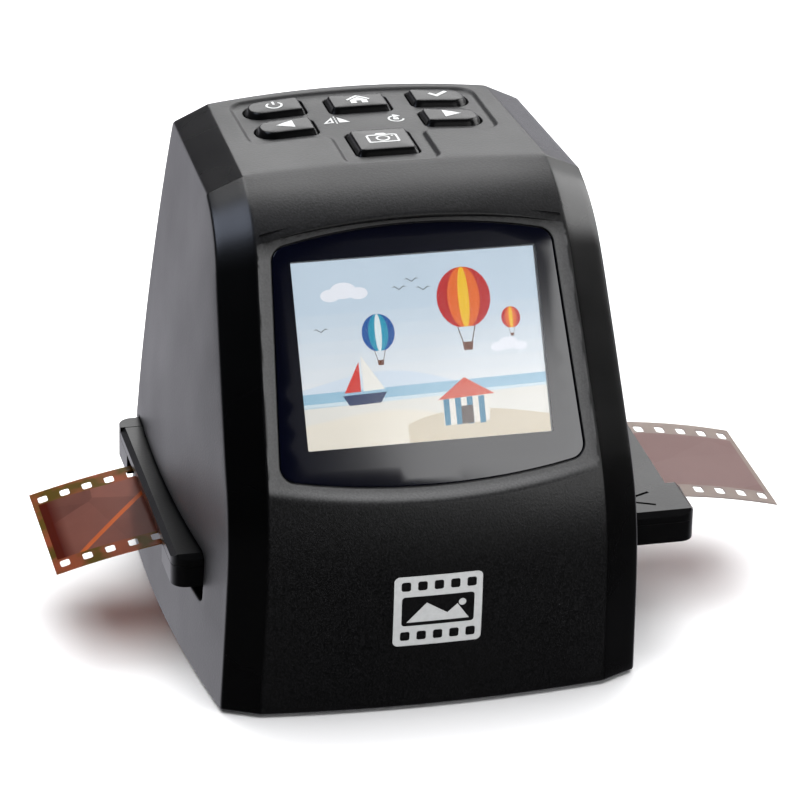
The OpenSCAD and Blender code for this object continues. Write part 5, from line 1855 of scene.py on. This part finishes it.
def make_sockets():
    eased_copy("card_slot_shell", "card_socket", 0.15, "steel", segments=2)
    eased_copy("power_socket_shell", "usb_socket", 0.1, "steel", segments=2)
    eased_copy("video_socket_body", "video_jack", 0.2, "jack", segments=2)


INNER_LOOKS = {
    "lcd_panel": "lcd", "lcd_bracket": "steel", "display_flex": "flex", "sensor_flex": "flex",
    "button_board": "board", "tact_switches": "switch", "main_board": "board", "main_chips": "chips",
    "middle_frame": "inner", "light_hood": "inner", "lens_holder": "optic", "lens_barrel": "optic",
    "lens_glass": "lens", "sensor_board": "board", "image_sensor": "sensor", "light_chassis": "inner",
    "led_board": "white_board", "diffuser": "opal", "tray_spring": "spring",
}


# ---------------------------------------------------------------- stage
CAMERA_TARGET = Vector((2.677, 3.0, 45.247)) * MM
CAMERA_TURN, CAMERA_RISE, CAMERA_ROLL = (math.radians(a) for a in (14.161, 25.959, 1.508))
CAMERA_DISTANCE = 0.86509
CAMERA_FOCUS_PX, PICTURE_PX = 4261.67, 800


def make_camera():
    data = bpy.data.cameras.new("camera")
    data.sensor_width = 36.0
    data.lens = CAMERA_FOCUS_PX / PICTURE_PX * data.sensor_width
    data.clip_start, data.clip_end = 0.05, 20.0
    camera = bpy.data.objects.new("camera", data)
    bpy.context.collection.objects.link(camera)
    turn, rise, roll = CAMERA_TURN, CAMERA_RISE, CAMERA_ROLL
    back = Vector((-math.sin(turn) * math.cos(rise), -math.cos(turn) * math.cos(rise), math.sin(rise)))
    right = (-back).cross(Vector((0, 0, 1))).normalized()
    up = right.cross(-back)
    across = right * math.cos(roll) + up * math.sin(roll)
    upward = up * math.cos(roll) - right * math.sin(roll)
    pose = Matrix((across, upward, back)).transposed().to_4x4()
    pose.translation = CAMERA_TARGET + back * CAMERA_DISTANCE
    camera.matrix_world = pose
    bpy.context.scene.camera = camera


def softbox(name, azimuth, elevation, distance, width, height, radiance, colour=(1, 1, 1), aim=(0, 0, 0.05)):
    """A rectangular studio light; azimuth 0 is straight in front, 90 on the left."""
    data = bpy.data.lights.new(name, "AREA")
    data.shape = "RECTANGLE"
    data.size, data.size_y = width, height
    data.energy = radiance * math.pi * width * height
    data.color = colour
    light = bpy.data.objects.new(name, data)
    bpy.context.collection.objects.link(light)
    a, e = math.radians(azimuth), math.radians(elevation)
    away = Vector((-math.sin(a) * math.cos(e), -math.cos(a) * math.cos(e), math.sin(e)))
    light.location = Vector(aim) + away * distance
    light.rotation_mode = "QUATERNION"
    light.rotation_quaternion = away.to_track_quat("Z", "Y")
    light.visible_camera = False
    return light


def make_floor(look):
    """A wide floor that rises behind the object in one soft curve; lengths in metres."""
    half, rear, radius, wall = 4.0, 2.2, 0.9, 3.5
    low = -0.00005  # a hair below the feet
    line = [(-half, low), (rear, low)]
    line += [(rear + radius * math.sin(g), low + radius - radius * math.cos(g))
             for g in np.linspace(0.1, math.pi / 2, 10)]
    line.append((rear + radius, wall))
    bm = bmesh.new()
    rows = [[bm.verts.new((x, y, z)) for x in (-half, half)] for y, z in line]
    for a, b in zip(rows, rows[1:]):
        bm.faces.new((a[0], a[1], b[1], b[0]))
    for face in bm.faces:
        face.smooth = True
    mesh = as_mesh("studio_floor", bm)
    finish = Finish("studio_floor", look.floor_colour[:], 0.9)
    finish.set("Specular IOR Level", 0.1)
    mesh.materials.append(finish.material)
    floor = bpy.data.objects.new("studio_floor", mesh)
    floor.visible_glossy = False
    bpy.context.collection.objects.link(floor)


def make_world(look):
    """Light from all round, stronger behind, below and on the left."""
    bpy.context.scene.view_settings.view_transform = "Standard"
    world = bpy.data.worlds.new("studio")
    bpy.context.scene.world = world
    world.use_nodes = True
    nodes = Nodes(world.node_tree)
    back = nodes.tree.nodes["Background"]
    back.inputs[0].default_value = (0.93, 0.92, 1.0, 1.0)
    where = nodes.node("ShaderNodeTexCoord").outputs["Generated"]
    x, y, z = nodes.node("ShaderNodeSeparateXYZ", {0: where}).outputs
    strength = nodes.between(y, 0.03, look.room_light, -0.2, 0.65)
    for factor in (nodes.between(z, 0.12, 1.0, 0.12, -0.08), nodes.between(x, 1.0, 1.8, -0.15, -0.55)):
        strength = nodes.math("MULTIPLY", strength, factor)
    nodes.join(strength, back.inputs[1])


def make_lights(look):
    """Softboxes on all sides, with their brightness in watts per steradian and square metre.

    Those behind and at the sides only light glossy edges, and the one straight above isn't mirrored.
    """
    level = look.light_level
    softbox("overhead_box", -175, 62, 1.2, 1.1, 0.62, 5.3 * level)
    softbox("front_box", -32.3, 20, 1.2, 0.69, 0.62, 3.3 * level)
    edge_boxes = (softbox("rear_box", -161, 26, 1.5, 1.15, 0.72, 3.3 * level),
                  softbox("side_box", -105, 24, 1.2, 0.95, 0.62, 5.8 * level),
                  softbox("left_box", 96, 52, 1.2, 0.6, 0.4, 5.5 * level, (0.72, 0.8, 1.0)))
    for light in edge_boxes:
        light.visible_diffuse = False
    fill = softbox("fill_box", 180, 85, 2.0, 3.2, 3.2, 3.4 * level)
    fill.visible_glossy = False


# ---------------------------------------------------------------- add-on
class ScannerSizes(bpy.types.PropertyGroup):
    """Roundings and reliefs that a user may change, in millimetres."""

    cover_edge: FloatProperty(name="Cover edge", description="Rounding of the rear cover and base plate",
                              default=0.3, min=0.05, max=0.6)
    tray_edge: FloatProperty(name="Tray edge", description="Rounding of the tray's edges",
                             default=0.3, min=0.05, max=0.6)
    cap_edge: FloatProperty(name="Cap edge", description="Rounding round the top of each button",
                            default=1.15, min=0.3, max=1.8)
    glass_edge: FloatProperty(name="Window edge", description="Rounding of the window's edge",
                              default=0.25, min=0.1, max=0.4)
    print_lift: FloatProperty(name="Print relief", description="Thickness of the printed signs",
                              default=0.04, min=0.02, max=0.1)


class ScannerLook(bpy.types.PropertyGroup):
    """Colours, gloss and light that a user may change."""

    case_colour: FloatVectorProperty(name="Housing", description="Colour of the housing", subtype="COLOR",
                                     size=3, default=(0.003, 0.003, 0.0034), min=0, max=1)
    surround_colour: FloatVectorProperty(name="Surround", description="Colour of the matt surround",
                                         subtype="COLOR", size=3, default=(0.075, 0.075, 0.076), min=0, max=1)
    case_roughness: FloatProperty(name="Housing roughness", description="Roughness of the grained panels",
                                  default=0.42, min=0.1, max=1.0)
    chamfer_roughness: FloatProperty(name="Chamfer roughness", description="Roughness of the long chamfers",
                                     default=0.26, min=0.05, max=1.0)
    cap_roughness: FloatProperty(name="Button roughness", description="Roughness of the button caps",
                                 default=0.22, min=0.05, max=1.0)
    film_clearness: FloatProperty(name="Film clearness", description="Share of light the film lets through",
                                  default=0.8, min=0.0, max=1.0)
    picture_brightness: FloatProperty(name="Picture brightness", description="Strength of the lit picture",
                                      default=0.95, min=0.0, max=4.0)
    floor_colour: FloatVectorProperty(name="Floor", description="Colour of the studio floor",
                                      subtype="COLOR", size=3, default=(0.86, 0.86, 0.87), min=0, max=1)
    room_light: FloatProperty(name="Room light", description="Strength of the light from all round",
                              default=1.0, min=0.0, max=4.0)
    light_level: FloatProperty(name="Light level", description="Strength of the softboxes",
                               default=1.0, min=0.0, max=10.0)


class SCANNER_OT_stage(bpy.types.Operator):
    """Adds the camera, the floor, the room light and the softboxes"""
    bl_idname = "scanner.stage"
    bl_label = "Stage"

    def execute(self, context):
        look = context.scene.scanner_look
        make_camera()
        make_floor(look)
        make_world(look)
        make_lights(look)
        return {"FINISHED"}


class SCANNER_OT_housing(bpy.types.Operator):
    """Makes the main housing with its recess, pockets, wells and slots"""
    bl_idname = "scanner.housing"
    bl_label = "Housing"

    def execute(self, context):
        into_piece("housing_shell", housing_mesh(), "case", look_of("case"), ["main_housing"])
        return {"FINISHED"}


class SCANNER_OT_window(bpy.types.Operator):
    """Makes the window, its border and the lit picture"""
    bl_idname = "scanner.window"
    bl_label = "Window and picture"

    def execute(self, context):
        make_window()
        make_picture()
        return {"FINISHED"}


class SCANNER_OT_buttons(bpy.types.Operator):
    """Makes the six button caps with their flanges and stems"""
    bl_idname = "scanner.buttons"
    bl_label = "Buttons"

    def execute(self, context):
        for name, key in KEYS.items():
            make_cap(name, key)
        return {"FINISHED"}


class SCANNER_OT_signs(bpy.types.Operator):
    """Prints the signs on the buttons and the pictogram on the front"""
    bl_idname = "scanner.signs"
    bl_label = "Printed signs"

    def execute(self, context):
        make_signs()
        make_badge()
        return {"FINISHED"}


class SCANNER_OT_tray(bpy.types.Operator):
    """Makes the film tray's base and lid"""
    bl_idname = "scanner.tray"
    bl_label = "Film tray"

    def execute(self, context):
        make_tray()
        return {"FINISHED"}


class SCANNER_OT_film(bpy.types.Operator):
    """Makes the strip of film with its perforations"""
    bl_idname = "scanner.film"
    bl_label = "Film"

    def execute(self, context):
        make_film()
        return {"FINISHED"}


class SCANNER_OT_covers(bpy.types.Operator):
    """Makes the rear cover and the base plate"""
    bl_idname = "scanner.covers"
    bl_label = "Covers"

    def execute(self, context):
        make_covers()
        return {"FINISHED"}


class SCANNER_OT_sockets(bpy.types.Operator):
    """Makes the card slot, the power socket and the video socket"""
    bl_idname = "scanner.sockets"
    bl_label = "Sockets"

    def execute(self, context):
        make_sockets()
        return {"FINISHED"}


class SCANNER_OT_fasteners(bpy.types.Operator):
    """Makes all screws, the feet and the light-emitting diodes"""
    bl_idname = "scanner.fasteners"
    bl_label = "Screws, feet and diodes"

    def execute(self, context):
        make_screws()
        make_feet()
        make_leds()
        return {"FINISHED"}


class SCANNER_OT_inside(bpy.types.Operator):
    """Gives the boards, optics and light unit inside their finishes"""
    bl_idname = "scanner.inside"
    bl_label = "Inside"

    def execute(self, context):
        for node, look in INNER_LOOKS.items():
            dress(node, look)
        return {"FINISHED"}


OPERATORS = (
    SCANNER_OT_stage, SCANNER_OT_housing, SCANNER_OT_window, SCANNER_OT_buttons, SCANNER_OT_signs,
    SCANNER_OT_tray, SCANNER_OT_film, SCANNER_OT_covers, SCANNER_OT_sockets, SCANNER_OT_fasteners,
    SCANNER_OT_inside,
)


class SCANNER_PT_sidebar(bpy.types.Panel):
    """Sizes, looks and pieces of the film scanner"""
    bl_idname = "SCANNER_PT_sidebar"
    bl_label = "Film scanner"
    bl_space_type = "VIEW_3D"
    bl_region_type = "UI"
    bl_category = "Scanner"

    def draw(self, context):
        for group in (context.scene.scanner_sizes, context.scene.scanner_look):
            column = self.layout.column(align=True)
            for name in type(group).__annotations__:
                column.prop(group, name)
        for operator in OPERATORS:
            self.layout.operator(operator.bl_idname)


CLASSES = (ScannerSizes, ScannerLook, *OPERATORS, SCANNER_PT_sidebar)


def register():
    for cls in CLASSES:
        bpy.utils.register_class(cls)
    bpy.types.Scene.scanner_sizes = PointerProperty(type=ScannerSizes)
    bpy.types.Scene.scanner_look = PointerProperty(type=ScannerLook)


def unregister():
    del bpy.types.Scene.scanner_look
    del bpy.types.Scene.scanner_sizes
    for cls in reversed(CLASSES):
        bpy.utils.unregister_class(cls)


def main():
    register()
    for operator in OPERATORS:
        group, name = operator.bl_idname.split(".")
        getattr(getattr(bpy.ops, group), name)()


if __name__ == "__main__":
    main()
